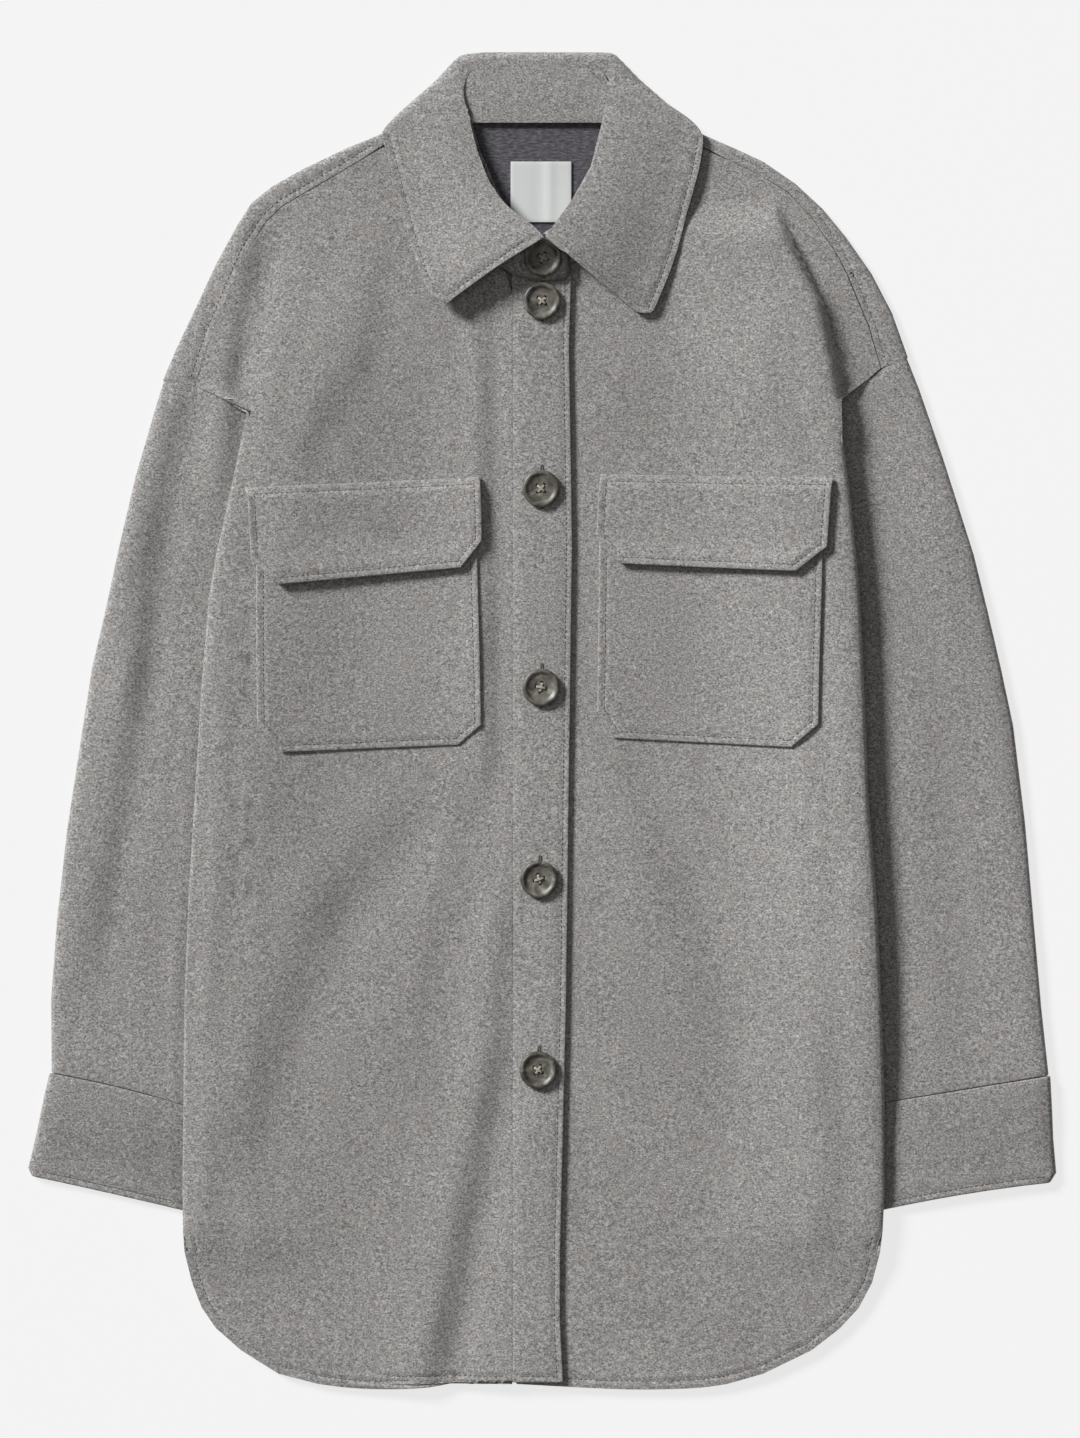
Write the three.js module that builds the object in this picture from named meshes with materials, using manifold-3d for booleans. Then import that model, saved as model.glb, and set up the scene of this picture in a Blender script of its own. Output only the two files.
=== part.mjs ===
// A long wool shirt-jacket laid flat on its back: millimetres, +Z up, +Y towards the collar.
// Image-left is -X, which is the wearer's right side.
import * as THREE from 'three';
import Module from 'manifold-3d';
import { mergeVertices } from 'three/addons/utils/BufferGeometryUtils.js';

// Driving dimensions
const ply = 2.2; // wall of the wool cloth
const seamGap = 0.3; // between pieces at a seam
const layerGap = 0.4; // between cloths that lie on each other
const doublePly = 2 * ply + layerGap; // front and back laid on each other
const sleevePly = 2.0;
const sleeveHeight = 5.6;
const cuffHeight = 6;
const tuckedHeight = 4.5; // sleeve's inner edge, where the body lies on it
const tuckLift = 4.9; // how far that edge lifts the body's side
const yokeLiftShare = 0.5; // the yoke's underside follows the folds of the front this much
const foldClearance = 0.95; // more room between front and yoke round the soft folds
const tuckDepth = 14; // sleeve's inner edge lies this far under the body
const placketPly = 2.6;
const placketInner = -19.1;
const frontInner = placketInner - seamGap;
const underlapEdge = -16;
const patchPly = 1.6; // pockets and flaps
const pocketEase = 0.6; // room under a pocket's outer side, where the front rises
const flapStandOff = 0.9; // a flap's lower edge stands off the pocket by this much more
const buttonRadius = 12;
const buttonHeight = 3.6;
const holeRadius = 1.1;
const holePlace = 2.3; // each hole's distance from the button's axis, along x and y
const standPly = 2;
const standCrown = 0.4; // the stand bulges a little at the back of the neck
const sideSeamEnd = -330; // the hem's curve starts below this
const armpit = 190;
const hemStep = 0.4; // rows lie this far above their height, clear of the hem row
const hemShare = 0.9; // the hem row runs over this share of the hem's straight part

// Half outline of the body by height: left and right sides, and above the armpit the soft folds
const bodySides = [
  { y: -424.5, left: -143, right: 118 },
  { y: -418, left: -168, right: 141 },
  { y: -403, left: -192, right: 172 },
  { y: -389, left: -208, right: 190 },
  { y: -376, left: -217, right: 202 },
  { y: -360, left: -223.2, right: 210.4 },
  { y: -340, left: -227.8, right: 215.4 },
  { y: -326, left: -228.8, right: 217 },
  { y: -300, left: -229.1, right: 218.3 },
  { y: -242, left: -228.5, right: 218 },
  { y: -180, left: -227.8, right: 215.6 },
  { y: -115, left: -225.3, right: 212.6 },
  { y: -50, left: -221.3, right: 207.4 },
  { y: 12, left: -217.6, right: 205 },
  { y: 76, left: -212.5, right: 202 },
  { y: 106, left: -207.4, right: 199.4 },
  { y: 139, left: -199.9, right: 196.2 },
  { y: 178, left: -191.7, right: 191 },
  { y: 207, left: -186.4, right: 188.2 },
  { y: 240, left: -181.8, right: 181.2 },
  { y: 266, left: -176.6, right: 176 },
  { y: 300, left: -168.5, right: 161.8 },
  { y: 318, left: -151.7, right: 150 },
];

// Hem of the fronts and the back by x
const hemLine = [
  { x: -143, y: -424.8 },
  { x: -108, y: -427.4 },
  { x: -72, y: -425.9 },
  { x: -47, y: -422.3 },
  { x: -18, y: -424 },
  { x: 53, y: -427.5 },
  { x: 94, y: -426.9 },
  { x: 118, y: -424.6 },
];

// Free edge of the placket by height
const placketEdge = [
  { y: -423, x: 13.4 },
  { y: -384, x: 11.5 },
  { y: -343, x: 11.5 },
  { y: -180, x: 15.4 },
  { y: 12, x: 17.9 },
  { y: 110, x: 19.2 },
  { y: 157, x: 18.6 },
  { y: 237, x: 17.3 },
  { y: 286, x: 18.6 },
];

// Shoulder seen from above: the fold over the shoulder (edge), the yoke's seam on the front (seam)
// and the yoke's seam on the back (rear)
const shoulderLeft = [
  { edgeX: -241.9, edgeY: 216.9, seamX: -222, seamY: 213.4, rearX: -205, rearY: 207 },
  { edgeX: -233.9, edgeY: 235.8, seamX: -217.5, seamY: 227, rearX: -198, rearY: 208 },
  { edgeX: -222.1, edgeY: 260.8, seamX: -210.6, seamY: 247.4, rearX: -188, rearY: 211 },
  { edgeX: -208, edgeY: 290.9, seamX: -200, seamY: 272, rearX: -178, rearY: 214 },
  { edgeX: -194.6, edgeY: 315.5, seamX: -188.2, seamY: 299.8, rearX: -168, rearY: 217 },
  { edgeX: -185.6, edgeY: 329.9, seamX: -176, seamY: 319, rearX: -158, rearY: 220 },
  { edgeX: -172.8, edgeY: 340.2, seamX: -166, seamY: 328.5, rearX: -148, rearY: 223 },
  { edgeX: -154.2, edgeY: 350.8, seamX: -147, seamY: 339.5, rearX: -134, rearY: 226 },
  { edgeX: -124.2, edgeY: 365.1, seamX: -118, seamY: 356.5, rearX: -112, rearY: 231 },
  { edgeX: -105, edgeY: 373, seamX: -101, seamY: 367.5, rearX: -96, rearY: 234 },
  { edgeX: -90, edgeY: 380, seamX: -88, seamY: 375.5, rearX: -84, rearY: 236 },
  { edgeX: -72, edgeY: 384.8, seamX: -72, seamY: 380.2, rearX: -70, rearY: 238 },
  { edgeX: -40, edgeY: 386.5, seamX: -40, seamY: 382, rearX: -40, rearY: 240 },
  { edgeX: 0, edgeY: 386.5, seamX: 0, seamY: 382, rearX: 0, rearY: 240 },
];
const shoulderRight = [
  { edgeX: 233.5, edgeY: 231.4, seamX: 216.6, seamY: 224.6, rearX: 202, rearY: 214 },
  { edgeX: 223.4, edgeY: 259.8, seamX: 208.5, seamY: 252, rearX: 192, rearY: 215 },
  { edgeX: 210.3, edgeY: 284.8, seamX: 201, seamY: 270, rearX: 180, rearY: 217 },
  { edgeX: 193.9, edgeY: 308.2, seamX: 188.5, seamY: 298, rearX: 168, rearY: 219 },
  { edgeX: 179.2, edgeY: 326.1, seamX: 173.4, seamY: 320.3, rearX: 156, rearY: 221 },
  { edgeX: 161.9, edgeY: 342.1, seamX: 158, seamY: 337, rearX: 144, rearY: 224 },
  { edgeX: 141.4, edgeY: 356.2, seamX: 138, seamY: 349, rearX: 130, rearY: 227 },
  { edgeX: 122.2, edgeY: 365.1, seamX: 119, seamY: 358, rearX: 112, rearY: 231 },
  { edgeX: 104, edgeY: 373, seamX: 101, seamY: 367.5, rearX: 96, rearY: 234 },
  { edgeX: 90, edgeY: 380, seamX: 88, seamY: 375.5, rearX: 84, rearY: 236 },
  { edgeX: 72, edgeY: 384.8, seamX: 72, seamY: 380.2, rearX: 70, rearY: 238 },
  { edgeX: 40, edgeY: 386.5, seamX: 40, seamY: 382, rearX: 40, rearY: 240 },
];

// Upper part of each front, from the armpit up: inner limit (placket, then neckline) and outer
// limit (armhole, then yoke seam)
const frontLeftRows = [
  { inner: frontInner, outer: -188.4, y: 196 },
  { inner: frontInner, outer: -198.4, y: 201.6 },
  { inner: frontInner, outer: -208, y: 207.4 },
  { inner: frontInner, outer: -220.9, y: 213.2 },
  { inner: frontInner, outer: -216.7, y: 227 },
  { inner: frontInner, outer: -209.8, y: 247.4 },
  { inner: frontInner, outer: -199.2, y: 272 },
  { inner: -24, outer: -193.2, y: 286 },
  { inner: -40, outer: -187.2, y: 299.8 },
  { inner: -55, outer: -175.2, y: 318.2 },
  { inner: -61, outer: -165.4, y: 327.6 },
  { inner: -67, outer: -146.4, y: 338.6 },
  { inner: -75, outer: -117.4, y: 355.6 },
  { inner: -86, outer: -101.8, y: 365 },
];
const frontRightRows = [
  { inner: underlapEdge, outer: 190.2, y: 204 },
  { inner: underlapEdge, outer: 207, y: 217 },
  { inner: underlapEdge, outer: 215.8, y: 224.4 },
  { inner: underlapEdge, outer: 207.6, y: 252 },
  { inner: underlapEdge, outer: 200, y: 270 },
  { inner: underlapEdge, outer: 194.2, y: 284 },
  { inner: 26, outer: 187.6, y: 297.2 },
  { inner: 54, outer: 172.6, y: 319.4 },
  { inner: 65, outer: 157.2, y: 336 },
  { inner: 71, outer: 137.4, y: 348.2 },
  { inner: 76, outer: 118.2, y: 357.2 },
  { inner: 86, outer: 100.6, y: 365 },
];

// Sleeves from armhole to cuff: outer edge, and inner edge under the body; bow bends the row
const sleeveLeft = [
  { outerX: -241.9, outerY: 215.4, innerX: -178, innerY: 187, bow: 5.6 },
  { outerX: -248.3, outerY: 194.2, innerX: -178.5, innerY: 171, bow: 2 },
  { outerX: -259.5, outerY: 155.5, innerX: -183, innerY: 140, bow: 0 },
  { outerX: -270.9, outerY: 106.6, innerX: -193, innerY: 92, bow: 0 },
  { outerX: -279, outerY: 68.8, innerX: -199, innerY: 56, bow: 0 },
  { outerX: -287.4, outerY: 33, innerX: -202.5, innerY: 22, bow: 0 },
  { outerX: -293.8, outerY: -8, innerX: -205, innerY: -18, bow: 0 },
  { outerX: -303.4, outerY: -70.7, innerX: -209, innerY: -82, bow: 0 },
  { outerX: -309.8, outerY: -128.3, innerX: -212, innerY: -142, bow: 0 },
  { outerX: -313.6, outerY: -179.5, innerX: -214, innerY: -199, bow: 1 },
  { outerX: -313.2, outerY: -225.6, innerX: -214.5, innerY: -251, bow: 2 },
];
const cuffLeft = [
  { outerX: -314.4, outerY: -226, innerX: -214, innerY: -251.4, bow: 2 },
  { outerX: -317.4, outerY: -239, innerX: -214, innerY: -265, bow: 1 },
  { outerX: -322.6, outerY: -263.4, innerX: -214.2, innerY: -290, bow: 0 },
  { outerX: -328.3, outerY: -286.5, innerX: -214.6, innerY: -311, bow: 0 },
  { outerX: -326.4, outerY: -291.6, innerX: -216, innerY: -317, bow: 0.5 },
];
const sleeveRight = [
  { outerX: 233.4, outerY: 229.8, innerX: 176, innerY: 192.4, bow: 2 },
  { outerX: 241.3, outerY: 209.9, innerX: 177, innerY: 176, bow: 1 },
  { outerX: 256, outerY: 167.4, innerX: 180.5, innerY: 145, bow: 0 },
  { outerX: 275.8, outerY: 105.3, innerX: 185.5, innerY: 92, bow: 0 },
  { outerX: 284.8, outerY: 68.8, innerX: 188.5, innerY: 56, bow: 0 },
  { outerX: 293.4, outerY: 31.7, innerX: 190.5, innerY: 22, bow: 0 },
  { outerX: 301, outerY: -4, innerX: 192, innerY: -12, bow: 0 },
  { outerX: 308.6, outerY: -66, innerX: 195, innerY: -72, bow: 0 },
  { outerX: 314, outerY: -128, innerX: 200, innerY: -134, bow: 0 },
  { outerX: 319, outerY: -185, innerX: 202, innerY: -198, bow: 2 },
  { outerX: 323.6, outerY: -227.2, innerX: 204, innerY: -247, bow: 0 },
];
const cuffRight = [
  { outerX: 324.6, outerY: -227.8, innerX: 203.6, innerY: -247.6, bow: 0 },
  { outerX: 325.8, outerY: -249.9, innerX: 204, innerY: -265, bow: 0 },
  { outerX: 326.6, outerY: -268, innerX: 204.4, innerY: -290, bow: 0 },
  { outerX: 328.6, outerY: -289.6, innerX: 205, innerY: -309, bow: -1 },
  { outerX: 324.8, outerY: -295.8, innerX: 206, innerY: -316, bow: 2 },
];

// Patch pockets and their flaps, from the bottom edge up: left and right ends of each row
const pocketLeftRows = [
  { x0: -165.8, y0: -20.8, x1: -53.4, y1: -16.1 },
  { x0: -181.4, y0: -4, x1: -38.8, y1: -3.5 },
  { x0: -182, y0: 40, x1: -39.7, y1: 42 },
  { x0: -182, y0: 92, x1: -41.2, y1: 96 },
  { x0: -182.4, y0: 138.6, x1: -42, y1: 144.6 },
];
const flapLeftRows = [
  { x0: -168.3, y0: 86.1, x1: -51.8, y1: 97 },
  { x0: -185, y0: 101.4, x1: -38.4, y1: 114 },
  { x0: -186.4, y0: 122, x1: -38.6, y1: 132 },
  { x0: -187.4, y0: 141.8, x1: -39.2, y1: 148 },
  { x0: -189.4, y0: 147.6, x1: -39.7, y1: 154.6 },
];
const pocketRightRows = [
  { x0: 46.1, y0: -11.8, x1: 158.7, y1: -17.6 },
  { x0: 35.4, y0: 6, x1: 175.8, y1: -3 },
  { x0: 36, y0: 42, x1: 176.6, y1: 42 },
  { x0: 36.6, y0: 92, x1: 178.2, y1: 92 },
  { x0: 37, y0: 147, x1: 178.6, y1: 144 },
];
const flapRightRows = [
  { x0: 50, y0: 99.6, x1: 161.3, y1: 94.4 },
  { x0: 34.8, y0: 116.5, x1: 181, y1: 110 },
  { x0: 35.6, y0: 132, x1: 182.4, y1: 130 },
  { x0: 36.6, y0: 150, x1: 183.7, y1: 147.4 },
  { x0: 37.8, y0: 156.5, x1: 185, y1: 153.3 },
];

// Soft ridges that stand beside the creases of the fronts
const ridges = [
  { x0: -52, y0: 240, x1: -48, y1: -30, width: 15, height: 1.1 },
  { x0: -66, y0: -245, x1: -80, y1: -424, width: 19, height: 2.2 },
  { x0: 48, y0: 235, x1: 42, y1: 175, width: 12, height: 0.9 },
  { x0: 60, y0: -60, x1: 78, y1: -330, width: 24, height: 1.2 },
  { x0: -120, y0: -80, x1: -128, y1: -320, width: 26, height: 1.1 },
  { x0: 190, y0: 250, x1: 210, y1: -290, width: 13, height: 1.7 },
  { x0: -196, y0: 150, x1: -222, y1: -270, width: 12, height: 0.7 },
];

// Collar leaf from the front edge to the back: roll line (in), outer limit, free edge, heights of the
// top face at the roll and at the outer limit, and how far the leaf is turned under, 1 being fully
const leafLeft = [
  { inX: -4.4, inY: 304.4, outX: -55, outY: 268.6, endX: -59.5, endY: 264.8, high: 16.8, low: 9.4 },
  { inX: -13, inY: 317, outX: -66, outY: 274, endX: -70.6, endY: 269.4, high: 16, low: 8.6 },
  { inX: -21.1, inY: 325.4, outX: -73, outY: 286, endX: -77.4, endY: 283, high: 15, low: 8.2 },
  { inX: -28.5, inY: 335, outX: -80, outY: 308, endX: -84.8, endY: 306.6, high: 14, low: 8 },
  { inX: -33.9, inY: 345.9, outX: -88, outY: 338.4, endX: -92.8, endY: 337.6, high: 13, low: 8 },
  { inX: -40, inY: 362, outX: -95.4, outY: 366, endX: -100.4, endY: 366.4, high: 12, low: 8 },
  { inX: -44.8, inY: 380.8, outX: -100, outY: 374, endX: -103.4, endY: 373.6, high: 11, low: 8.6 },
  { inX: -48, inY: 392, outX: -97.6, outY: 381.8, endX: -97.6, endY: 381.8, high: 10.2, low: 8.8, turn: 0.5 },
  { inX: -49.4, inY: 397.4, outX: -90.6, outY: 388.4, endX: -90, endY: 388, high: 9.8, low: 8.8, turn: 0.8 },
  { inX: -49.9, inY: 402.4, outX: -82, outY: 396, endX: -74.6, endY: 388.6, high: 9.2, low: 8.4, turn: 1 },
  { inX: -48.8, inY: 408.6, outX: -67, outY: 409.4, endX: -60, endY: 388, high: 8, low: 7.8, turn: 1 },
  { inX: -46, inY: 412.6, outX: -53.4, outY: 424.8, endX: -50, endY: 388, high: 7.2, low: 7.2, turn: 1 },
  { inX: -36, inY: 413.4, outX: -38, outY: 426.8, endX: -38, endY: 388, high: 7.2, low: 7.2, turn: 1 },
  { inX: -4, inY: 413.4, outX: -4, outY: 426.8, endX: -4, endY: 388, high: 7.2, low: 7.2, turn: 1 },
];
const leafRight = [
  { inX: 0.8, inY: 307, outX: 55.6, outY: 263.4, endX: 59.5, endY: 260.2, high: 17.4, low: 9.2 },
  { inX: 8.6, inY: 317.6, outX: 66, outY: 261.6, endX: 70.4, endY: 258.6, high: 16.4, low: 8.4 },
  { inX: 18.6, inY: 331.2, outX: 75.4, outY: 282, endX: 79.7, endY: 280.6, high: 15, low: 8.2 },
  { inX: 25.6, inY: 341, outX: 82, outY: 301, endX: 86.6, endY: 300, high: 14, low: 8.4 },
  { inX: 31.4, inY: 352.3, outX: 89, outY: 325, endX: 92.6, endY: 324, high: 13, low: 9 },
  { inX: 35.4, inY: 366, outX: 97, outY: 352, endX: 100.4, endY: 351.6, high: 12, low: 9.2 },
  { inX: 38.7, inY: 382.4, outX: 100, outY: 373, endX: 103.6, endY: 372.2, high: 11, low: 9 },
  { inX: 41, inY: 393, outX: 97.6, outY: 381.2, endX: 97.6, endY: 381.2, high: 10.2, low: 8.8, turn: 0.5 },
  { inX: 42.4, inY: 398, outX: 89.6, outY: 387, endX: 89, endY: 386.6, high: 10.1, low: 8.8, turn: 0.8 },
  { inX: 42.8, inY: 403.4, outX: 80, outY: 393.6, endX: 73, endY: 388.4, high: 9.8, low: 8.4, turn: 1 },
  { inX: 42.4, inY: 409, outX: 62.4, outY: 409, endX: 56, endY: 388, high: 8, low: 7.8, turn: 1 },
  { inX: 40, inY: 412.8, outX: 45.6, outY: 426.6, endX: 44, endY: 388, high: 7.2, low: 7.2, turn: 1 },
  { inX: 26, inY: 413.4, outX: 26, outY: 426.8, endX: 26, endY: 388, high: 7.2, low: 7.2, turn: 1 },
];

// Collar stand from its underlapping end round the neck to the buttoned tab: neck and upper edge
const standRows = [
  { neckX: -8, neckY: 288.6, topX: -10, topY: 305, zNeck: 7.4, zTop: 7.6 },
  { neckX: 4, neckY: 288, topX: -3, topY: 308, zNeck: 7.4, zTop: 7.6 },
  { neckX: 26, neckY: 293, topX: 9, topY: 315.6, zNeck: 7.2, zTop: 7.8 },
  { neckX: 46, neckY: 309, topX: 19, topY: 331.6, zNeck: 7.2, zTop: 9 },
  { neckX: 61, neckY: 330, topX: 31, topY: 353, zNeck: 7.2, zTop: 9 },
  { neckX: 69, neckY: 352, topX: 38.4, topY: 382, zNeck: 7.2, zTop: 8 },
  { neckX: 62, neckY: 374, topX: 39.8, topY: 398, zNeck: 7.1, zTop: 7.2 },
  { neckX: 53, neckY: 380.8, topX: 40, topY: 406, zNeck: 7.1, zTop: 7.2 },
  { neckX: 40, neckY: 381.2, topX: 37, topY: 411.8, zNeck: 7.1, zTop: 7.2 },
  { neckX: 20, neckY: 381.2, topX: 20, topY: 413, zNeck: 7.1, zTop: 7.2 },
  { neckX: 0, neckY: 381.2, topX: 0, topY: 413, zNeck: 7.1, zTop: 7.2 },
  { neckX: -20, neckY: 381.2, topX: -20, topY: 413, zNeck: 7.1, zTop: 7.2 },
  { neckX: -42, neckY: 381.2, topX: -43, topY: 411.6, zNeck: 7.1, zTop: 7.2 },
  { neckX: -53, neckY: 380.8, topX: -46.6, topY: 406, zNeck: 7.1, zTop: 7.2 },
  { neckX: -62, neckY: 374, topX: -46.6, topY: 397, zNeck: 7.1, zTop: 7.2 },
  { neckX: -69, neckY: 352, topX: -45, topY: 382, zNeck: 7.2, zTop: 8 },
  { neckX: -62, neckY: 330, topX: -39.6, topY: 364, zNeck: 7.2, zTop: 9 },
  { neckX: -51, neckY: 309, topX: -31, topY: 343, zNeck: 8.2, zTop: 10 },
  { neckX: -33, neckY: 292, topX: -20, topY: 322, zNeck: 9.9, zTop: 10.8 },
  { neckX: -14, neckY: 281.6, topX: -11, topY: 312, zNeck: 10.3, zTop: 10.6 },
  { neckX: 0, neckY: 279.8, topX: 0, topY: 306.6, zNeck: 10.3, zTop: 10.3 },
  { neckX: 13.4, neckY: 280, topX: 12.6, topY: 301.6, zNeck: 10.3, zTop: 10.3 },
  { neckX: 18.4, neckY: 284, topX: 17.4, topY: 296, zNeck: 10.3, zTop: 10.3 },
];

// Dark facing seen inside the neck, from its lower edge up: left and right limits
const liningRows = [
  { x0: -34, y0: 299.6, x1: 22, y1: 299.6 },
  { x0: -48, y0: 315, x1: 46, y1: 315 },
  { x0: -60, y0: 335, x1: 60, y1: 335 },
  { x0: -66, y0: 350, x1: 66, y1: 350 },
  { x0: -66, y0: 370, x1: 66, y1: 370 },
  { x0: -56, y0: 380.4, x1: 56, y1: 380.4 },
];
const liningBottom = 2.5;
const liningPly = 1.2;
const labelRows = [
  { x0: -19.8, y0: 317.8, x1: 18.6, y1: 317.8 },
  { x0: -19.8, y0: 356.2, x1: 18.6, y1: 356.2 },
];
const labelPly = 1;

// Buttons from the collar down
const buttons = [
  { name: 'button_1', x: 0.6, y: 294.2, base: 10.6 },
  { name: 'button_2', x: 0, y: 267, base: 8.1 },
  { name: 'button_3', x: -0.6, y: 147.3, base: 8.1 },
  { name: 'button_4', x: -0.6, y: 20.5, base: 8.1 },
  { name: 'button_5', x: -1.9, y: -101.9, base: 8.1 },
  { name: 'button_6', x: -2.4, y: -223.5, base: 8.1 },
];

// Materials
const wool = { color: 0x949290, roughness: 0.95, metalness: 0 };
const darkCloth = { color: 0x545258, roughness: 0.9, metalness: 0 };
const whiteTape = { color: 0xe6e6e2, roughness: 0.7, metalness: 0 };
const horn = { color: 0x6b675c, roughness: 0.4, metalness: 0 };

// Smooth step from 0 at one value to 1 at the other
function smooth(from, to, value) {
  const t = Math.min(1, Math.max(0, (value - from) / (to - from)));
  return t * t * (3 - 2 * t);
}

// Smooth reading of a table's column at a value of its key column
function read(table, key, column, value) {
  const last = table.length - 1;
  if (value <= table[0][key]) return table[0][column];
  if (value >= table[last][key]) return table[last][column];
  let i = 0;
  while (value > table[i + 1][key]) i += 1;
  const slope = (k) => {
    const before = table[Math.max(0, k - 1)];
    const after = table[Math.min(last, k + 1)];
    return (after[column] - before[column]) / (after[key] - before[key]);
  };
  const step = table[i + 1][key] - table[i][key];
  const t = (value - table[i][key]) / step;
  const h = t * t * (3 - 2 * t);
  return table[i][column] * (1 - h) + table[i + 1][column] * h
    + step * t * (1 - t) * (slope(i) * (1 - t) - slope(i + 1) * t);
}

// Heights of the layers
const bodyEdge = (side, y) => read(bodySides, 'y', side < 0 ? 'left' : 'right', y);

// The sleeve's inner edge lifts the body's side: from the shoulder to the hem's curve, and across
const liftAlong = { top: 316, fullTop: 215, fullLow: -324, low: -360 };
const liftAcross = { from: -46, full: -tuckDepth - 4, edge: 1, gone: 11 };

function lift(x, y) {
  const side = x < 0 ? -1 : 1;
  const outward = side * (x - bodyEdge(side, y));
  const along = smooth(liftAlong.top, liftAlong.fullTop, y) * smooth(liftAlong.low, liftAlong.fullLow, y);
  const rise = smooth(liftAcross.from, liftAcross.full, outward);
  const fall = smooth(liftAcross.edge, liftAcross.gone, outward);
  return tuckLift * along * rise * (1 - fall);
}

const hemCurve = -400; // a ridge that ends below this runs out at the hem

function ridgeHeight(x, y) {
  let total = 0;
  for (const ridge of ridges) {
    const t = (y - ridge.y0) / (ridge.y1 - ridge.y0);
    const middle = ridge.x0 + (ridge.x1 - ridge.x0) * Math.min(1, Math.max(0, t));
    const runsOut = ridge.y1 < hemCurve;
    const ends = smooth(-0.1, 0.25, t) * (runsOut ? 1 : 1 - smooth(0.75, 1.1, t));
    total += ridge.height * ends * Math.exp(-(((x - middle) / ridge.width) ** 2));
  }
  return total;
}

// The wearer's right front rises onto the underlap of the other one
const overlapRise = (x) => (ply + layerGap) * smooth(-62, -21, x);

// Between the armpits and the shoulders' seams the fronts stand off the yoke
const standOff = { low: 176, full: 198, fullTop: 300, top: 330, inner: 90, outer: 130 };

function frontBottom(x, y) {
  const rise = x < placketInner ? overlapRise(x) : 0;
  const away = Math.abs(x);
  const along = smooth(standOff.low, standOff.full, y) * smooth(standOff.top, standOff.fullTop, y);
  const clear = foldClearance * along * smooth(standOff.inner, standOff.outer, away);
  const toSeam = smooth(40, 24, away - Math.abs(bodyEdge(x, y)));
  return lift(x, y) + ply + layerGap + rise + ridgeHeight(x, y) + clear * toSeam;
}

// Closed wall between two grids of points, outer and inner; a ring joins its last row to its first
function wall(outer, inner, ring = false) {
  const rows = outer.length;
  const columns = outer[0].length;
  const positions = [...outer.flat(), ...inner.flat()].flat();
  const indices = [];
  const at = (layer, i, j) => layer * rows * columns + (i % rows) * columns + j;
  const quad = (a, b, c, d) => indices.push(a, b, c, a, c, d);
  const rowEnd = ring ? rows : rows - 1;
  for (let i = 0; i < rowEnd; i += 1) {
    for (let j = 0; j < columns - 1; j += 1) {
      quad(at(0, i, j), at(0, i, j + 1), at(0, i + 1, j + 1), at(0, i + 1, j));
      quad(at(1, i, j), at(1, i + 1, j), at(1, i + 1, j + 1), at(1, i, j + 1));
    }
    quad(at(0, i, 0), at(0, i + 1, 0), at(1, i + 1, 0), at(1, i, 0));
    const k = columns - 1;
    quad(at(0, i, k), at(1, i, k), at(1, i + 1, k), at(0, i + 1, k));
  }
  if (!ring) {
    for (let j = 0; j < columns - 1; j += 1) {
      quad(at(0, 0, j), at(1, 0, j), at(1, 0, j + 1), at(0, 0, j + 1));
      const k = rows - 1;
      quad(at(0, k, j), at(0, k, j + 1), at(1, k, j + 1), at(1, k, j));
    }
  }
  const geometry = new THREE.BufferGeometry();
  geometry.setAttribute('position', new THREE.Float32BufferAttribute(positions, 3));
  geometry.setIndex(indices);
  return facingOut(geometry);
}

// Turns a closed geometry so that its faces point out
function facingOut(geometry) {
  const p = geometry.getAttribute('position');
  const index = geometry.getIndex();
  const a = new THREE.Vector3();
  const b = new THREE.Vector3();
  const c = new THREE.Vector3();
  let volume = 0;
  for (let i = 0; i < index.count; i += 3) {
    a.fromBufferAttribute(p, index.getX(i));
    b.fromBufferAttribute(p, index.getX(i + 1));
    c.fromBufferAttribute(p, index.getX(i + 2));
    volume += a.dot(b.cross(c));
  }
  if (volume < 0) {
    for (let i = 0; i < index.count; i += 3) {
      const first = index.getX(i);
      index.setX(i, index.getX(i + 1));
      index.setX(i + 1, first);
    }
  }
  geometry.computeVertexNormals();
  return geometry;
}

// Inner grid: the outer one moved inwards by the thickness, square to the surface
function offsetGrid(grid, thickness, flip) {
  const point = (i, j) => new THREE.Vector3(...grid[i][j]);
  return grid.map((row, i) => row.map((_, j) => {
    const along = point(Math.min(grid.length - 1, i + 1), j).sub(point(Math.max(0, i - 1), j));
    const across = point(i, Math.min(row.length - 1, j + 1)).sub(point(i, Math.max(0, j - 1)));
    const normal = along.cross(across).normalize().multiplyScalar(flip * thickness);
    return point(i, j).add(normal).toArray();
  }));
}

// Patch that lies on a surface: rows of left and right ends, filled with columns and extra rows
function patch(rows, columns, between, bottom, thickness) {
  const outer = [];
  const inner = [];
  for (let i = 0; i < rows.length - 1; i += 1) {
    const lastOne = i === rows.length - 2 ? 1 : 0;
    for (let k = 0; k < between + lastOne; k += 1) {
      const t = k / between;
      const mix = (name) => rows[i][name] * (1 - t) + rows[i + 1][name] * t;
      const top = [];
      const under = [];
      for (let j = 0; j <= columns; j += 1) {
        const s = j / columns;
        const x = mix('x0') * (1 - s) + mix('x1') * s;
        const y = mix('y0') * (1 - s) + mix('y1') * s;
        const z = bottom(x, y);
        top.push([x, y, z + thickness]);
        under.push([x, y, z]);
      }
      outer.push(top);
      inner.push(under);
    }
  }
  return wall(outer, inner);
}

// Stations of a row from its inner limit out: even ones, then set distances from the body's edge,
// then four more up to the limit, or one that starts the roll of the side. Near the neck they are
// evenly spaced.
const nearEdge = [-54, -46, -38, -31, -24, -18, -10];
const frontStations = 7;
const backStations = 2;
const rollRadius = doublePly / 2;

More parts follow.
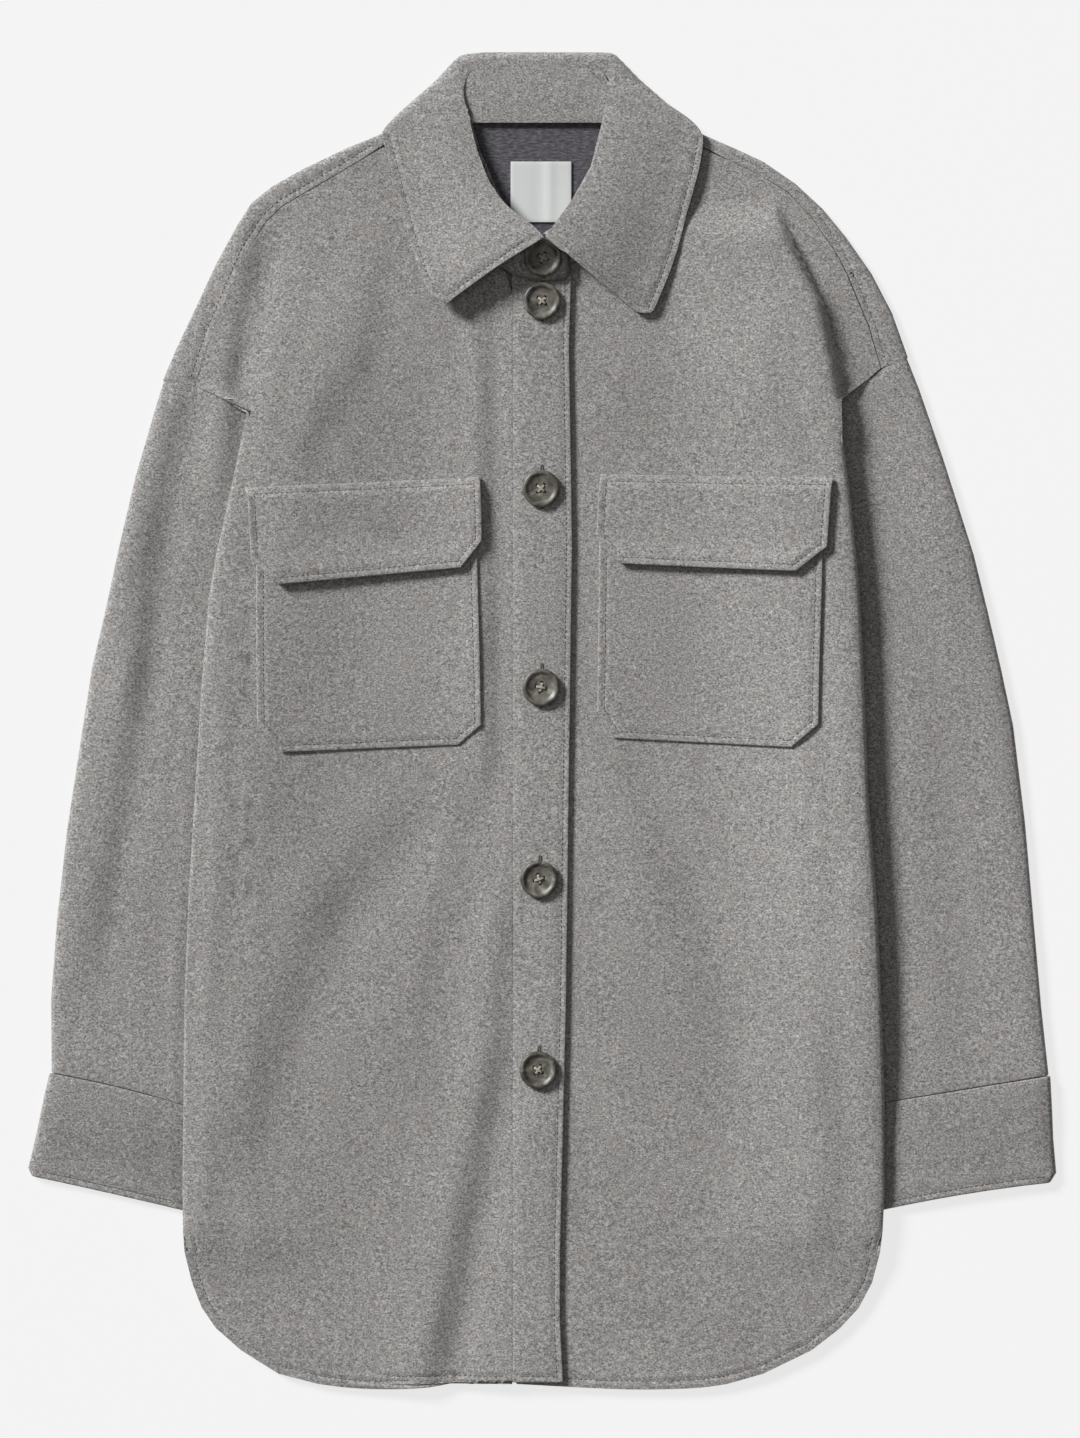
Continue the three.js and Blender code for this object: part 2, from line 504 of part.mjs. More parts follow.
function stations(side, y, inner, limit, rolled, even) {
  const edge = bodyEdge(side, y);
  const start = edge + side * nearEdge[0];
  const list = [];
  for (let j = 0; j < even; j += 1) list.push(inner + ((start - inner) * j) / even);
  for (const distance of nearEdge) list.push(edge + side * distance);
  if (rolled) {
    list.push(limit - side * rollRadius);
    return list;
  }
  const reach = side * (limit - edge) + 10;
  [0, 5.5, 11].forEach((target, k) => {
    list.push(edge + side * Math.min(target, (reach * (k + 1)) / 4 - 10));
  });
  list.push(limit);
  const spread = smooth(290, 320, y);
  const count = list.length - 1;
  return list.map((x, j) => x * (1 - spread) + (inner + ((limit - inner) * j) / count) * spread);
}

// Half of a side's roll at one row: the front's upper half or the back's lower half
function sideRoll(side, limit, y, upper) {
  const flat = limit - side * rollRadius;
  const low = lift(flat, y);
  const high = frontBottom(flat, y) + ply;
  const radius = (high - low) / 2;
  const middle = (high + low) / 2;
  const centre = limit - side * radius;
  const up = upper ? 1 : -1;
  return [30, 60, 86].map((degrees) => {
    const angle = (degrees * Math.PI) / 180;
    const place = (r) => [centre + side * r * Math.sin(angle), y, middle + up * r * Math.cos(angle)];
    return { face: place(radius), back: place(Math.max(0.25, radius - ply)) };
  });
}

// Lower rows of the fronts and the back, from the hem to the armpit
const lowerRows = bodySides.filter((row) => row.y < armpit).map((row) => row.y);
const hemLeft = hemLine[0].x * hemShare;
const hemRight = hemLine[hemLine.length - 1].x * hemShare;

// Points of one row, seen from above: face is the side that shows, back the other one
function frontRow(side, y, inner, limit, rolled) {
  const points = stations(side, y, inner, limit, rolled, frontStations).map((x) => {
    const z = frontBottom(x, y);
    return { face: [x, y, z + ply], back: [x, y, z] };
  });
  return rolled ? [...points, ...sideRoll(side, limit, y, true)] : points;
}

// On the short hem row the stations are spread evenly
function hemRow(inner, limit, count, inset, bottomOf) {
  return Array.from({ length: count }, (_, j) => {
    const x = inner + ((limit - inner) * j) / (count - 1);
    const y = read(hemLine, 'x', 'y', x) + inset;
    return bottomOf(x, y);
  });
}

const toWall = (rows) => wall(
  rows.map((row) => row.map((pair) => pair.face)),
  rows.map((row) => row.map((pair) => pair.back)),
);

function frontPanel(side, innerEdge, upperRows) {
  const rows = [];
  for (const y of lowerRows) {
    rows.push(frontRow(side, y + hemStep, innerEdge, bodyEdge(side, y), y > sideSeamEnd));
  }
  for (const row of upperRows) rows.push(frontRow(side, row.y, row.inner, row.outer, false));
  const end = side < 0 ? hemLeft : hemRight;
  rows.unshift(hemRow(innerEdge, end, rows[0].length, 0, (x, y) => {
    const z = frontBottom(x, y);
    return { face: [x, y, z + ply], back: [x, y, z] };
  }));
  return toWall(rows);
}

// The back: up to the yoke's seam, with the lower half of both side rolls
const yokeCurve = { low: 206, rise: 34, halfWidth: 205 };
const yokeSeam = (x) => yokeCurve.low + yokeCurve.rise * (1 - Math.min(1, (x / yokeCurve.halfWidth) ** 2));
const yokeGap = 0.9; // the back ends this far below the yoke's seam
const backInset = 1.2; // its hem lies just inside the fronts' hem
const backTopRows = [
  { left: -186.4, right: 187, rise: 0 },
  { left: -187, right: 187.4, rise: 0.4 },
  { left: -188, right: 187.8, rise: 0.7 },
  { left: -189, right: 188, rise: 1 },
];

function backPanel() {
  const backPair = (x, y) => {
    const z = lift(x, y);
    return { face: [x, y, z], back: [x, y, z + ply] };
  };
  const fullRow = (y, left, right, rolled, rise) => {
    const half = (side, limit) => {
      const points = stations(side, y, 0, limit, rolled, backStations).map((x) => {
        const top = yokeSeam(x) - yokeGap;
        return backPair(x, y + (top - y) * rise);
      });
      return rolled ? [...points, ...sideRoll(side, limit, y, false)] : points;
    };
    return [...half(-1, left).reverse(), ...half(1, right).slice(1)];
  };
  const rows = lowerRows.map((y) => {
    const rolled = y > sideSeamEnd;
    const tuck = rolled ? 0 : backInset;
    return fullRow(y + hemStep + tuck, bodyEdge(-1, y) + tuck, bodyEdge(1, y) - tuck, rolled, 0);
  });
  for (const row of backTopRows) rows.push(fullRow(armpit, row.left, row.right, false, row.rise));
  rows.unshift(hemRow(hemLeft, hemRight, rows[0].length, backInset, backPair));
  return toWall(rows);
}

// The yoke: from its seam on the fronts, over the shoulder's fold and down to its seam on the back
function yokePiece() {
  const stations = [...shoulderLeft, ...[...shoulderRight].reverse()];
  const outer = [];
  const inner = [];
  const top = doublePly;
  const radius = top / 2;
  for (const s of stations) {
    const edge = new THREE.Vector2(s.edgeX, s.edgeY);
    const front = new THREE.Vector2(s.seamX, s.seamY);
    const rear = new THREE.Vector2(s.rearX, s.rearY);
    const out = edge.clone().sub(front).normalize();
    const centre = edge.clone().sub(out.clone().multiplyScalar(radius));
    const outPoints = [];
    const inPoints = [];
    const put = (place, zOut, zIn) => {
      outPoints.push([place.x, place.y, zOut]);
      inPoints.push([place.x, place.y, zIn]);
    };
    for (const t of [0, 0.6, 1]) {
      const place = front.clone().lerp(centre, t);
      put(place, top, top - ply);
    }
    for (const degrees of [35, 70, 110, 145]) {
      const angle = (degrees * Math.PI) / 180;
      const reach = (r) => centre.clone().add(out.clone().multiplyScalar(r * Math.sin(angle)));
      const small = 0.3;
      const a = reach(radius);
      const b = reach(small);
      outPoints.push([a.x, a.y, radius + radius * Math.cos(angle)]);
      inPoints.push([b.x, b.y, radius + small * Math.cos(angle)]);
    }
    for (const t of [0, 0.12, 0.3, 0.5, 0.75, 1]) {
      const place = centre.clone().lerp(rear, t);
      const z = lift(place.x, place.y) * yokeLiftShare * smooth(0, 0.2, t);
      put(place, z, z + ply);
    }
    outer.push(outPoints);
    inner.push(inPoints);
  }
  return wall(outer, inner);
}

// A sleeve or a cuff: a flat tube with a wall, one closed section for each row of its table
const sleeveSlope = { from: 18, to: 40 }; // from the tucked edge the top rises over this stretch

function sleeveTube(table, startHeight, endHeight) {
  const tucked = tuckedHeight;
  const sections = table.map((row, k) => {
    const outerEdge = new THREE.Vector2(row.outerX, row.outerY);
    const innerEdge = new THREE.Vector2(row.innerX, row.innerY);
    const bow = row.bow;
    const down = k / (table.length - 1);
    const height = startHeight + (endHeight - startHeight) * Math.min(1, down * 3);
    const width = outerEdge.distanceTo(innerEdge);
    const outPoints = [];
    const inPoints = [];
    const put = (list, distance, z) => {
      const s = distance / width;
      const place = outerEdge.clone().lerp(innerEdge, s);
      list.push([place.x, place.y + bow * 4 * s * (1 - s), z]);
    };
    const topAt = (distance) => {
      const fromInner = width - distance;
      return tucked + (height - tucked) * smooth(sleeveSlope.from, sleeveSlope.to, fromInner);
    };
    const turn = (side) => {
      const tall = side < 0 ? height : tucked;
      const radius = tall / 2;
      const centre = side < 0 ? radius : width - radius;
      const small = Math.max(0.2, radius - sleevePly);
      const angles = side < 0 ? [180, 135, 90, 45, 0] : [0, 45, 90, 135, 180];
      for (const degrees of angles) {
        const angle = (degrees * Math.PI) / 180;
        put(outPoints, centre + side * radius * Math.sin(angle), radius + radius * Math.cos(angle));
        put(inPoints, centre + side * small * Math.sin(angle), radius + small * Math.cos(angle));
      }
    };
    turn(-1);
    for (const s of [0.14, 0.32, 0.5, 0.64, 0.76, 0.88]) {
      put(outPoints, width * s, topAt(width * s));
      put(inPoints, width * s, topAt(width * s) - sleevePly);
    }
    turn(1);
    for (const s of [0.8, 0.5, 0.2]) {
      put(outPoints, width * s, 0);
      put(inPoints, width * s, sleevePly);
    }
    return { outPoints, inPoints };
  });
  // The section runs round, so the grids are turned: a row for each point of the section
  const turned = (name) => sections[0][name].map((_, j) => sections.map((s) => s[name][j]));
  return wall(turned('outPoints'), turned('inPoints'), true);
}

// The collar leaf, turned under at the back of the neck
function collarPiece() {
  const stations = [...leafLeft, ...[...leafRight].reverse()];
  const grid = stations.map((s) => {
    const roll = new THREE.Vector2(s.inX, s.inY);
    const out = new THREE.Vector2(s.outX, s.outY);
    const end = new THREE.Vector2(s.endX, s.endY);
    const way = out.clone().sub(roll).normalize();
    const radius = s.low / 2;
    const turn = s.turn ?? 0;
    const turned = turn > 0;
    const start = turned ? out.clone().sub(way.clone().multiplyScalar(radius)) : out;
    const row = [];
    for (const t of [0, 0.1, 0.3, 0.55, 0.8, 1]) {
      const place = roll.clone().lerp(start, t);
      const drop = s.high + (s.low - s.high) * smooth(0.25, 1, t);
      row.push([place.x, place.y, drop - (t === 0 ? 0.5 : 0)]);
    }
    for (const k of [1, 2, 3, 4, 5]) {
      if (!turned) {
        const place = start.clone().lerp(end, k / 5);
        row.push([place.x, place.y, s.low]);
      } else {
        const share = turn === 1 ? Math.min(k, 4) / 4 : k / 5;
        const angle = share * Math.PI * turn;
        const place = start.clone().add(way.clone().multiplyScalar(radius * Math.sin(angle)));
        const onFloor = k === 5 && turn === 1;
        row.push(onFloor ? [end.x, end.y, 0] : [place.x, place.y, radius + radius * Math.cos(angle)]);
      }
    }
    return row;
  });
  return wall(grid, offsetGrid(grid, ply, -1));
}

// The collar stand: a band round the neck
function standPiece() {
  const outer = [];
  const inner = [];
  for (const s of standRows) {
    const top = [];
    const under = [];
    for (const t of [0, 0.25, 0.5, 0.75, 1]) {
      const x = s.neckX + (s.topX - s.neckX) * t;
      const y = s.neckY + (s.topY - s.neckY) * t;
      const crown = s.topY > 405 ? standCrown * Math.sin(Math.PI * t) : 0;
      const z = s.zNeck + (s.zTop - s.zNeck) * t + crown;
      top.push([x, y, z]);
      under.push([x, y, z - standPly]);
    }
    outer.push(top);
    inner.push(under);
  }
  return wall(outer, inner);
}

// Buttons: a turned disc with a raised rim, a dished middle and four holes
const wasm = await Module();
wasm.setup();

function toManifold(geometry) {
  const plain = geometry.clone();
  plain.deleteAttribute('normal');
  plain.deleteAttribute('uv');
  const merged = mergeVertices(plain, 1e-3);
  return new wasm.Manifold(new wasm.Mesh({
    numProp: 3,
    vertProperties: new Float32Array(merged.getAttribute('position').array),
    triVerts: new Uint32Array(merged.getIndex().array),
  }));
}

// Half section of a button, as shares of its radius and height
const buttonProfile = [
  { out: 0, up: 0 },
  { out: 0.8, up: 0 },
  { out: 1, up: 0.5 },
  { out: 0.95, up: 0.88 },
  { out: 0.86, up: 1 },
  { out: 0.68, up: 0.7 },
  { out: 0, up: 0.6 },
];

function buttonGeometry() {
  const profile = buttonProfile.map((p) => new THREE.Vector2(p.out * buttonRadius, p.up * buttonHeight));
  const disc = new THREE.LatheGeometry(profile, 16);
  disc.rotateX(Math.PI / 2);
  let solid = toManifold(disc);
  for (const [sx, sy] of [[-1, -1], [1, -1], [1, 1], [-1, 1]]) {
    const hole = new THREE.CylinderGeometry(holeRadius, holeRadius, buttonHeight * 3, 6);
    hole.rotateX(Math.PI / 2);
    hole.translate(sx * holePlace, sy * holePlace, 0);
    solid = solid.subtract(toManifold(hole));
  }
  const mesh = solid.getMesh();
  const geometry = new THREE.BufferGeometry();
  geometry.setAttribute('position', new THREE.Float32BufferAttribute(mesh.vertProperties, 3));
  geometry.setIndex([...mesh.triVerts]);
  return facingOut(geometry);
}

// Assembly
const garment = new THREE.Group();

function addPiece(name, geometry, look) {
  const mesh = new THREE.Mesh(geometry, new THREE.MeshStandardMaterial(look));
  mesh.name = name;
  garment.add(mesh);
  return mesh;
}

const frontTop = (x, y) => frontBottom(x, y) + ply;
const pocketBottom = (x, y) => frontTop(x, y) + seamGap + pocketEase * smooth(120, 165, Math.abs(x));

// A flap lies on the front along its top edge and on the pocket below, and its lower edge stands off
function flapBottom(x, y) {
  const top = (x < 0 ? flapLeftRows : flapRightRows).at(-1);
  const topY = top.y0 + ((top.y1 - top.y0) * (x - top.x0)) / (top.x1 - top.x0);
  const overPocket = (patchPly + layerGap) * smooth(-0.5, -5, y - topY);
  return pocketBottom(x, y) + overPocket + flapStandOff * smooth(112, 92, y);
}

const placketRows = placketEdge.map((row) => ({ x0: placketInner, y0: row.y, x1: row.x, y1: row.y }));
const placketBottom = () => 2 * (ply + layerGap);

addPiece('back', backPanel(), wool);
addPiece('front_right', frontPanel(-1, -19.4, frontLeftRows), wool);
addPiece('front_left', frontPanel(1, underlapEdge, frontRightRows), wool);
addPiece('placket', patch(placketRows, 3, 2, placketBottom, placketPly), wool);
addPiece('yoke', yokePiece(), wool);
addPiece('yoke_lining', patch(liningRows, 6, 1, () => liningBottom, liningPly), darkCloth);
addPiece('label', patch(labelRows, 2, 2, () => liningBottom + liningPly + seamGap, labelPly), whiteTape);
addPiece('sleeve_right', sleeveTube(sleeveLeft, doublePly, sleeveHeight), wool);
addPiece('sleeve_left', sleeveTube(sleeveRight, doublePly, sleeveHeight), wool);
addPiece('cuff_right', sleeveTube(cuffLeft, cuffHeight, cuffHeight), wool);
addPiece('cuff_left', sleeveTube(cuffRight, cuffHeight, cuffHeight), wool);
addPiece('pocket_right', patch(pocketLeftRows, 14, 1, pocketBottom, patchPly), wool);
addPiece('pocket_left', patch(pocketRightRows, 14, 1, pocketBottom, patchPly), wool);
addPiece('flap_right', patch(flapLeftRows, 14, 1, flapBottom, patchPly), wool);
addPiece('flap_left', patch(flapRightRows, 14, 1, flapBottom, patchPly), wool);
addPiece('collar_stand', standPiece(), wool);
addPiece('collar', collarPiece(), wool);
for (const button of buttons) {
  const mesh = addPiece(button.name, buttonGeometry(), horn);
  mesh.position.set(button.x, button.y, button.base);
}

// The origin is the middle of the underside of the whole
const box = new THREE.Box3().setFromObject(garment);
const middle = box.getCenter(new THREE.Vector3());
garment.position.set(-middle.x, -middle.y, -box.min.z);

export default garment;
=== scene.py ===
import math

import bmesh
import bpy
from mathutils import Matrix, Vector, noise
from mathutils.bvhtree import BVHTree
from mathutils.kdtree import KDTree


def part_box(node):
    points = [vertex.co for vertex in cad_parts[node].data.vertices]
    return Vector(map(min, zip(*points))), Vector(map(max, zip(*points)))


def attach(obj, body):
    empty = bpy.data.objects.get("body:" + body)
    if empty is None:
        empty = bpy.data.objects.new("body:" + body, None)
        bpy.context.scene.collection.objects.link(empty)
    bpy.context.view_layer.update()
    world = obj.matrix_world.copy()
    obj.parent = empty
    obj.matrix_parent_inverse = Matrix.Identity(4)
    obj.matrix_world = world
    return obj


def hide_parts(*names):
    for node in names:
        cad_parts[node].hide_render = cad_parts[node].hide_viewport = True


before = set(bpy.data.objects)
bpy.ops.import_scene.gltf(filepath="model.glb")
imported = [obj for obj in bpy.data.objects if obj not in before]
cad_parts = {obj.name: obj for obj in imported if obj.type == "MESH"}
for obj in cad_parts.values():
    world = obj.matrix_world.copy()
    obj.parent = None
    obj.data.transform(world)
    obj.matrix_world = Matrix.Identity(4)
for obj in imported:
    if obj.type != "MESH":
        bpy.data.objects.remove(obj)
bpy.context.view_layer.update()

mm = 0.001
shiftX, shiftY = -0.15 * mm, 0.42 * mm  # from the garment's own millimetres to the frame's origin
print("frame loaded:", len(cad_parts), "nodes")


def smooth(start, end, value):
    t = min(1.0, max(0.0, (value - start) / (end - start)))
    return t * t * (3 - 2 * t)


# Camera straight above the laid garment, with a long lens
view = {"x": -1.28, "y": 0.32, "height": 3.0, "coverMm": 920.3, "sensor": 36}


def makeCamera():
    data = bpy.data.cameras.new("camera")
    data.sensor_width = view["sensor"]
    data.lens = view["sensor"] * view["height"] / (view["coverMm"] * mm)
    data.clip_start, data.clip_end = 0.1, 20
    camera = bpy.data.objects.new("camera", data)
    camera.location = (view["x"] * mm + shiftX, view["y"] * mm + shiftY, view["height"])
    bpy.context.scene.collection.objects.link(camera)
    bpy.context.scene.camera = camera


makeCamera()
bpy.context.scene.view_settings.view_transform = "Standard"


# Materials
def newMaterial(name, roughness, sheen=0.0):
    material = bpy.data.materials.new(name)
    material.use_nodes = True
    shader = material.node_tree.nodes["Principled BSDF"]
    shader.inputs["Roughness"].default_value = roughness
    shader.inputs["Specular IOR Level"].default_value = 0.25
    shader.inputs["Sheen Weight"].default_value = sheen
    shader.inputs["Sheen Roughness"].default_value = 0.5
    return material, material.node_tree, shader


def addNode(tree, kind, **settings):
    node = tree.nodes.new(kind)
    for key, value in settings.items():
        setattr(node, key, value)
    return node


def noiseNode(tree, vector, scale, detail=2.0, roughness=0.5):
    node = addNode(tree, "ShaderNodeTexNoise")
    node.inputs["Scale"].default_value = scale
    node.inputs["Detail"].default_value = detail
    node.inputs["Roughness"].default_value = roughness
    tree.links.new(vector, node.inputs["Vector"])
    return node


def rampNode(tree, value, stops):
    ramp = addNode(tree, "ShaderNodeValToRGB")
    elements = ramp.color_ramp.elements
    while len(elements) < len(stops):
        elements.new(0.5)
    for element, (place, colour) in zip(elements, stops):
        element.position = place
        element.color = (*colour, 1)
    tree.links.new(value, ramp.inputs["Fac"])
    return ramp


def mixNode(tree, blend, amount, first, second):
    mix = addNode(tree, "ShaderNodeMix", data_type="RGBA", blend_type=blend)
    if isinstance(amount, float):
        mix.inputs["Factor"].default_value = amount
    else:
        tree.links.new(amount, mix.inputs["Factor"])
    for socket, value in ((mix.inputs["A"], first), (mix.inputs["B"], second)):
        if isinstance(value, tuple):
            socket.default_value = (*value, 1)
        else:
            tree.links.new(value, socket)
    return mix.outputs["Result"]


def bumpNode(tree, shader, height, strength, distance):
    bump = addNode(tree, "ShaderNodeBump")
    bump.inputs["Strength"].default_value = strength
    bump.inputs["Distance"].default_value = distance
    tree.links.new(height, bump.inputs["Height"])
    tree.links.new(bump.outputs["Normal"], shader.inputs["Normal"])


woolLook = {
    "dark": (0.105, 0.103, 0.103),
    "middle": (0.276, 0.272, 0.264),
    "light": (0.47, 0.455, 0.44),
    "warm": (0.31, 0.262, 0.25),
    "speckle": 1000,  # grains to a metre
    "blotch": 430,
    "fibre": 2600,
    "blush": 240,
    "cloud": 9,
    "bump": 0.35,
    "bumpDepth": 0.0004,
}


def makeWool(name, look, tone=1.0):
    material, tree, shader = newMaterial(name, 0.95, 0.25)
    place = addNode(tree, "ShaderNodeTexCoord").outputs["Object"]
    stretch = addNode(tree, "ShaderNodeMapping")
    stretch.inputs["Scale"].default_value = (0.8, 1.0, 1.0)  # grains run slightly across
    tree.links.new(place, stretch.inputs["Vector"])
    grain = noiseNode(tree, stretch.outputs["Vector"], look["speckle"], 3.0, 0.68)
    scale = [tuple(channel * tone for channel in look[key]) for key in ("dark", "middle", "light")]
    speckles = rampNode(tree, grain.outputs["Fac"], list(zip((0.34, 0.5, 0.66), scale)))
    blotch = noiseNode(tree, stretch.outputs["Vector"], look["blotch"], 2.0, 0.55)
    blotchTone = rampNode(tree, blotch.outputs["Fac"], [(0.34, (0.8,) * 3), (0.66, (1.2,) * 3)])
    fibre = noiseNode(tree, place, look["fibre"], 2.0, 0.6)
    fibreTone = rampNode(tree, fibre.outputs["Fac"], [(0.3, (0.72,) * 3), (0.7, (1.28,) * 3)])
    colour = mixNode(tree, "MULTIPLY", 0.8, speckles.outputs["Color"], fibreTone.outputs["Color"])
    colour = mixNode(tree, "MULTIPLY", 1.0, colour, blotchTone.outputs["Color"])
    blush = noiseNode(tree, place, look["blush"], 2.0, 0.6)
    blushShare = rampNode(tree, blush.outputs["Fac"], [(0.5, (0, 0, 0)), (0.72, (0.5,) * 3)])
    colour = mixNode(tree, "MIX", blushShare.outputs["Color"], colour, tuple(c * tone for c in look["warm"]))
    cloud = noiseNode(tree, place, look["cloud"], 2.0, 0.5)
    cloudTone = rampNode(tree, cloud.outputs["Fac"], [(0.3, (0.95,) * 3), (0.7, (1.05,) * 3)])
    colour = mixNode(tree, "MULTIPLY", 1.0, colour, cloudTone.outputs["Color"])
    tree.links.new(colour, shader.inputs["Base Color"])
    height = addNode(tree, "ShaderNodeMath", operation="ADD")
    tree.links.new(grain.outputs["Fac"], height.inputs[0])
    tree.links.new(fibre.outputs["Fac"], height.inputs[1])
    bumpNode(tree, shader, height.outputs["Value"], look["bump"], look["bumpDepth"])
    return material


def makeDarkCloth():
    material, tree, shader = newMaterial("darkCloth", 0.9, 0.1)
    place = addNode(tree, "ShaderNodeTexCoord").outputs["Object"]
    stretch = addNode(tree, "ShaderNodeMapping")
    stretch.inputs["Scale"].default_value = (0.3, 1.0, 1.0)
    tree.links.new(place, stretch.inputs["Vector"])
    grain = noiseNode(tree, stretch.outputs["Vector"], 900, 3.0, 0.7)
    stops = [(0.35, (0.045, 0.043, 0.05)), (0.5, (0.085, 0.08, 0.09)), (0.68, (0.16, 0.152, 0.165))]
    tree.links.new(rampNode(tree, grain.outputs["Fac"], stops).outputs["Color"], shader.inputs["Base Color"])
    bumpNode(tree, shader, grain.outputs["Fac"], 0.5, 0.0003)
    return material


def makeTape():
    material, tree, shader = newMaterial("whiteTape", 0.6, 0.1)
    place = addNode(tree, "ShaderNodeTexCoord").outputs["Object"]
    weave = addNode(tree, "ShaderNodeTexWave", bands_direction="Y")
    weave.inputs["Scale"].default_value = 900
    weave.inputs["Distortion"].default_value = 1.5
    tree.links.new(place, weave.inputs["Vector"])
    stops = [(0.0, (0.56, 0.58, 0.565)), (1.0, (0.67, 0.69, 0.675))]
    tree.links.new(rampNode(tree, weave.outputs["Fac"], stops).outputs["Color"], shader.inputs["Base Color"])
    bumpNode(tree, shader, weave.outputs["Fac"], 0.2, 0.0001)
    return material


def makeHorn():
    material, tree, shader = newMaterial("horn", 0.42)
    shader.inputs["Specular IOR Level"].default_value = 0.5
    place = addNode(tree, "ShaderNodeTexCoord").outputs["Object"]
    swirl = noiseNode(tree, place, 70, 4.0, 0.6)
    swirl.inputs["Distortion"].default_value = 2.2
    stops = [(0.3, (0.025, 0.023, 0.018)), (0.47, (0.085, 0.078, 0.064)), (0.6, (0.15, 0.143, 0.12)),
             (0.72, (0.27, 0.26, 0.225))]
    tree.links.new(rampNode(tree, swirl.outputs["Fac"], stops).outputs["Color"], shader.inputs["Base Color"])
    fine = noiseNode(tree, place, 400, 2.0, 0.5)
    bumpNode(tree, shader, fine.outputs["Fac"], 0.08, 0.0002)
    return material


def makeThread(name, colour):
    material, tree, shader = newMaterial(name, 0.8, 0.2)
    place = addNode(tree, "ShaderNodeTexCoord").outputs["Object"]
    twist = noiseNode(tree, place, 2600, 2.0, 0.6)
    stops = [(0.3, tuple(c * 0.7 for c in colour)), (0.7, tuple(c * 1.25 for c in colour))]
    tree.links.new(rampNode(tree, twist.outputs["Fac"], stops).outputs["Color"], shader.inputs["Base Color"])
    bumpNode(tree, shader, twist.outputs["Fac"], 0.4, 0.0002)
    return material


woolCloth = makeWool("wool", woolLook)
cuffClothPaintedShade = makeWool("cuffWoolPaintedShade", woolLook, 0.93)  # the same wool a little darker: painted shade where the cuffs fall away from the light
darkCloth = makeDarkCloth()
whiteTape = makeTape()
horn = makeHorn()
# seam thread, darker than the grey thread itself: partly its own colour, partly painted shade of the groove
# it lies in
seamThreadWithPaintedShade = makeThread("seamThreadWithPaintedShade", (0.12, 0.115, 0.11))
buttonThread = makeThread("buttonThread", (0.42, 0.38, 0.32))
print("materials ready")


# Waves of the laid cloth, in the garment's millimetres: each runs downwards from one point to another,
# and the cloth falls to the right across it; a negative fall rises to the right
waves = [
    {"from": (-182, 300), "to": (-195, 225), "width": 14, "fall": 4.6},
    {"from": (-195, 225), "to": (-199, 150), "width": 12, "fall": 3.8},
    {"from": (-219, -8), "to": (-227, -160), "width": 7, "fall": 2.2},
    {"from": (-227, -160), "to": (-230, -300), "width": 7, "fall": 2.6},
    {"from": (-230, 200), "to": (-249, 112), "width": 13, "fall": 3.4},
    {"from": (-249, 112), "to": (-258, 20), "width": 14, "fall": 3.6},
    {"from": (-258, 20), "to": (-284, -140), "width": 14, "fall": 2.8},
    {"from": (-101, 300), "to": (-116, 225), "width": 14, "fall": 1.3},
    {"from": (-116, 225), "to": (-162, 158), "width": 15, "fall": 1.1},
    {"from": (-36, 236), "to": (-33, 60), "width": 9, "fall": 2.6},
    {"from": (-33, 60), "to": (-32, -40), "width": 9, "fall": 2.5},
    {"from": (-90, -60), "to": (-140, -125), "width": 24, "fall": 2.8},
    {"from": (-140, -125), "to": (-198, -280), "width": 24, "fall": 2.8},
    {"from": (-43, -30), "to": (-76, -190), "width": 18, "fall": 1.8},
    {"from": (-23, -125), "to": (-32, -235), "width": 13, "fall": 2.6},
    {"from": (-32, -235), "to": (-66, -412), "width": 15, "fall": 4.0},
    {"from": (52, -30), "to": (84, -110), "width": 20, "fall": 1.9},
    {"from": (84, -110), "to": (116, -205), "width": 22, "fall": 1.7},
    {"from": (112, 278), "to": (147, 198), "width": 18, "fall": 1.5},
    {"from": (178, -215), "to": (190, -290), "width": 15, "fall": 1.3},
    {"from": (288, 70), "to": (306, -60), "width": 11, "fall": 0.9},
    {"from": (232, 168), "to": (262, 20), "width": 15, "fall": -1.2},
    {"from": (248, -40), "to": (262, -200), "width": 18, "fall": 1.1},
]
cuffWaves = [
    {"from": (-200, -286), "to": (-334, -262), "width": 36, "fall": 5.2},
    {"from": (334, -264), "to": (196, -282), "width": 36, "fall": 2.2},
]
lie = {"base": 0.9, "slow": 0.55, "quick": 0.3, "lowest": -1.5}

# The body's sides arch over the sleeves: right edge by height, from top to bottom, and the left one
rightEdge = [(-424, 118), (-360, 210), (-300, 218), (-180, 215.6), (-50, 207.4), (76, 202), (139, 196.2),
             (207, 188.2), (266, 176), (318, 150)]
leftEdge = [(-424, -143), (-360, -223), (-300, -229), (-180, -227.8), (-50, -221.3), (76, -212.5),
            (139, -199.9), (207, -186.4), (266, -176.6), (318, -151.7)]
arch = {"reach": 105, "height": 8.0, "foldHeight": 8.6, "drop": 4, "top": 334, "full": 306, "low": -345,
        "fade": -150}
tuck = {"height": 4.9, "narrow": 46, "wide": 118, "from": 18}  # how the solids' sides rise over the sleeves


def readLine(line, y):
    for (y0, x0), (y1, x1) in zip(line, line[1:]):
        if y <= y1:
            return x0 + (x1 - x0) * max(0.0, (y - y0) / (y1 - y0))
    return line[-1][1]


def archHeight(x, y):
    edge = readLine(rightEdge if x > 0 else leftEdge, y)
    inside = abs(edge) - abs(x)
    tucked = smooth(316, 215, y) * smooth(-360, -324, y)
    ease = smooth(tuck["wide"], tuck["from"], inside) - smooth(tuck["narrow"], tuck["from"], inside)
    height = tuck["height"] * tucked * ease
    if x > 0:
        along = smooth(arch["top"], arch["full"], y) * smooth(arch["low"], arch["fade"], y)
        amount = arch["foldHeight"] + (arch["height"] - arch["foldHeight"]) * smooth(300, 190, y)
        share = smooth(arch["reach"], 2, inside) * (1 - smooth(0, -arch["drop"], inside))
        height += amount * share * along
    return height


